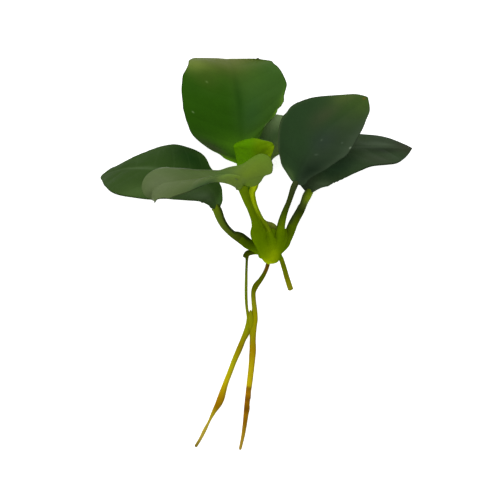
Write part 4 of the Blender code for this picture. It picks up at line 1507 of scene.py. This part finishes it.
def table_paint(colour):
    """A pale matt table that gives back a little light of its own."""
    material, tree, shader = new_paint("table", 0.0)
    place = add(tree, "ShaderNodeTexCoord").outputs["Object"]
    mottle = noise(tree, place, TABLE_MOTTLE_SIZE, 51.0) * TABLE_MOTTLE
    plug(tree, brighter(tree, (*colour, 1.0), mottle, (1, 1, 1)), shader.inputs["Base Color"])
    shader.inputs["Roughness"].default_value = TABLE_ROUGHNESS
    shader.inputs["Emission Color"].default_value = (1, 1, 1, 1)
    shader.inputs["Emission Strength"].default_value = TABLE_GLOW
    return material


def soft_light(name, place, size, power):
    """A square lamp that looks at the middle of the table."""
    data = bpy.data.lights.new(name, "AREA")
    data.shape = "SQUARE"
    data.size = size
    data.energy = power
    lamp = bpy.data.objects.new(name, data)
    lamp.location = place
    lamp.rotation_euler = (-Vector(place)).to_track_quat("-Z", "Y").to_euler()
    bpy.context.scene.collection.objects.link(lamp)


class ANUBIAS_OT_studio(bpy.types.Operator):
    """Make the table, the lights, the sky and the camera"""

    bl_idname = "anubias.studio"
    bl_label = "Studio"

    def execute(self, context):
        studio = context.scene.anubias_studio
        bm = bmesh.new()
        bmesh.ops.create_grid(bm, x_segments=4, y_segments=4, size=TABLE_REACH)
        mesh = bpy.data.meshes.new("table")
        bm.to_mesh(mesh)
        bm.free()
        table = place_object("table", mesh)
        mesh.materials.append(table_paint(studio.table_colour))
        soft_light("key light", *KEY_LIGHT, studio.key_power)
        soft_light("fill light", *FILL_LIGHT, studio.fill_power)
        world = bpy.data.worlds.new("studio sky")
        context.scene.world = world
        world.use_nodes = True
        background = world.node_tree.nodes["Background"]
        background.inputs["Color"].default_value = (1, 1, 1, 1)
        background.inputs["Strength"].default_value = studio.sky
        lens = bpy.data.cameras.new("camera")
        lens.lens = studio.lens
        lens.clip_start = NEAR_CLIP
        camera = bpy.data.objects.new("camera", lens)
        x, y = CAMERA_SPOT
        camera.location = (x * MM, y * MM, studio.camera_height)
        context.scene.collection.objects.link(camera)
        context.scene.camera = camera
        context.scene.view_settings.view_transform = "Standard"
        return {"FINISHED"}


class ANUBIAS_PT_panel(bpy.types.Panel):
    """Lists the plantlet's pieces and sizes"""

    bl_label = "Anubias plantlet"
    bl_idname = "ANUBIAS_PT_panel"
    bl_space_type = "VIEW_3D"
    bl_region_type = "UI"
    bl_category = "Anubias"

    def draw(self, context):
        for operator in OPERATORS:
            self.layout.operator(operator.bl_idname)
        for group in GROUPS:
            box = self.layout.box()
            settings = getattr(context.scene, group)
            for name in settings.bl_rna.properties.keys():
                if name not in ("rna_type", "name"):
                    box.prop(settings, name)


OPERATORS = (
    ANUBIAS_OT_blades,
    ANUBIAS_OT_stalks,
    ANUBIAS_OT_crown,
    ANUBIAS_OT_bud,
    ANUBIAS_OT_roots,
    ANUBIAS_OT_studio,
)
GROUPS = {
    "anubias_blades": AnubiasBladeSizes,
    "anubias_strands": AnubiasStrandSizes,
    "anubias_colours": AnubiasColours,
    "anubias_studio": AnubiasStudio,
}


def register():
    """Adds the classes and their settings."""
    for cls in (*GROUPS.values(), *OPERATORS, ANUBIAS_PT_panel):
        bpy.utils.register_class(cls)
    for name, group in GROUPS.items():
        setattr(bpy.types.Scene, name, bpy.props.PointerProperty(type=group))


def unregister():
    """Removes the classes and their settings."""
    for name in GROUPS:
        delattr(bpy.types.Scene, name)
    for cls in reversed((*GROUPS.values(), *OPERATORS, ANUBIAS_PT_panel)):
        bpy.utils.unregister_class(cls)


def main():
    """Makes all the pieces and the stage."""
    register()
    for operator in OPERATORS:
        family, name = operator.bl_idname.split(".")
        getattr(getattr(bpy.ops, family), name)()


if __name__ == "__main__":
    main()
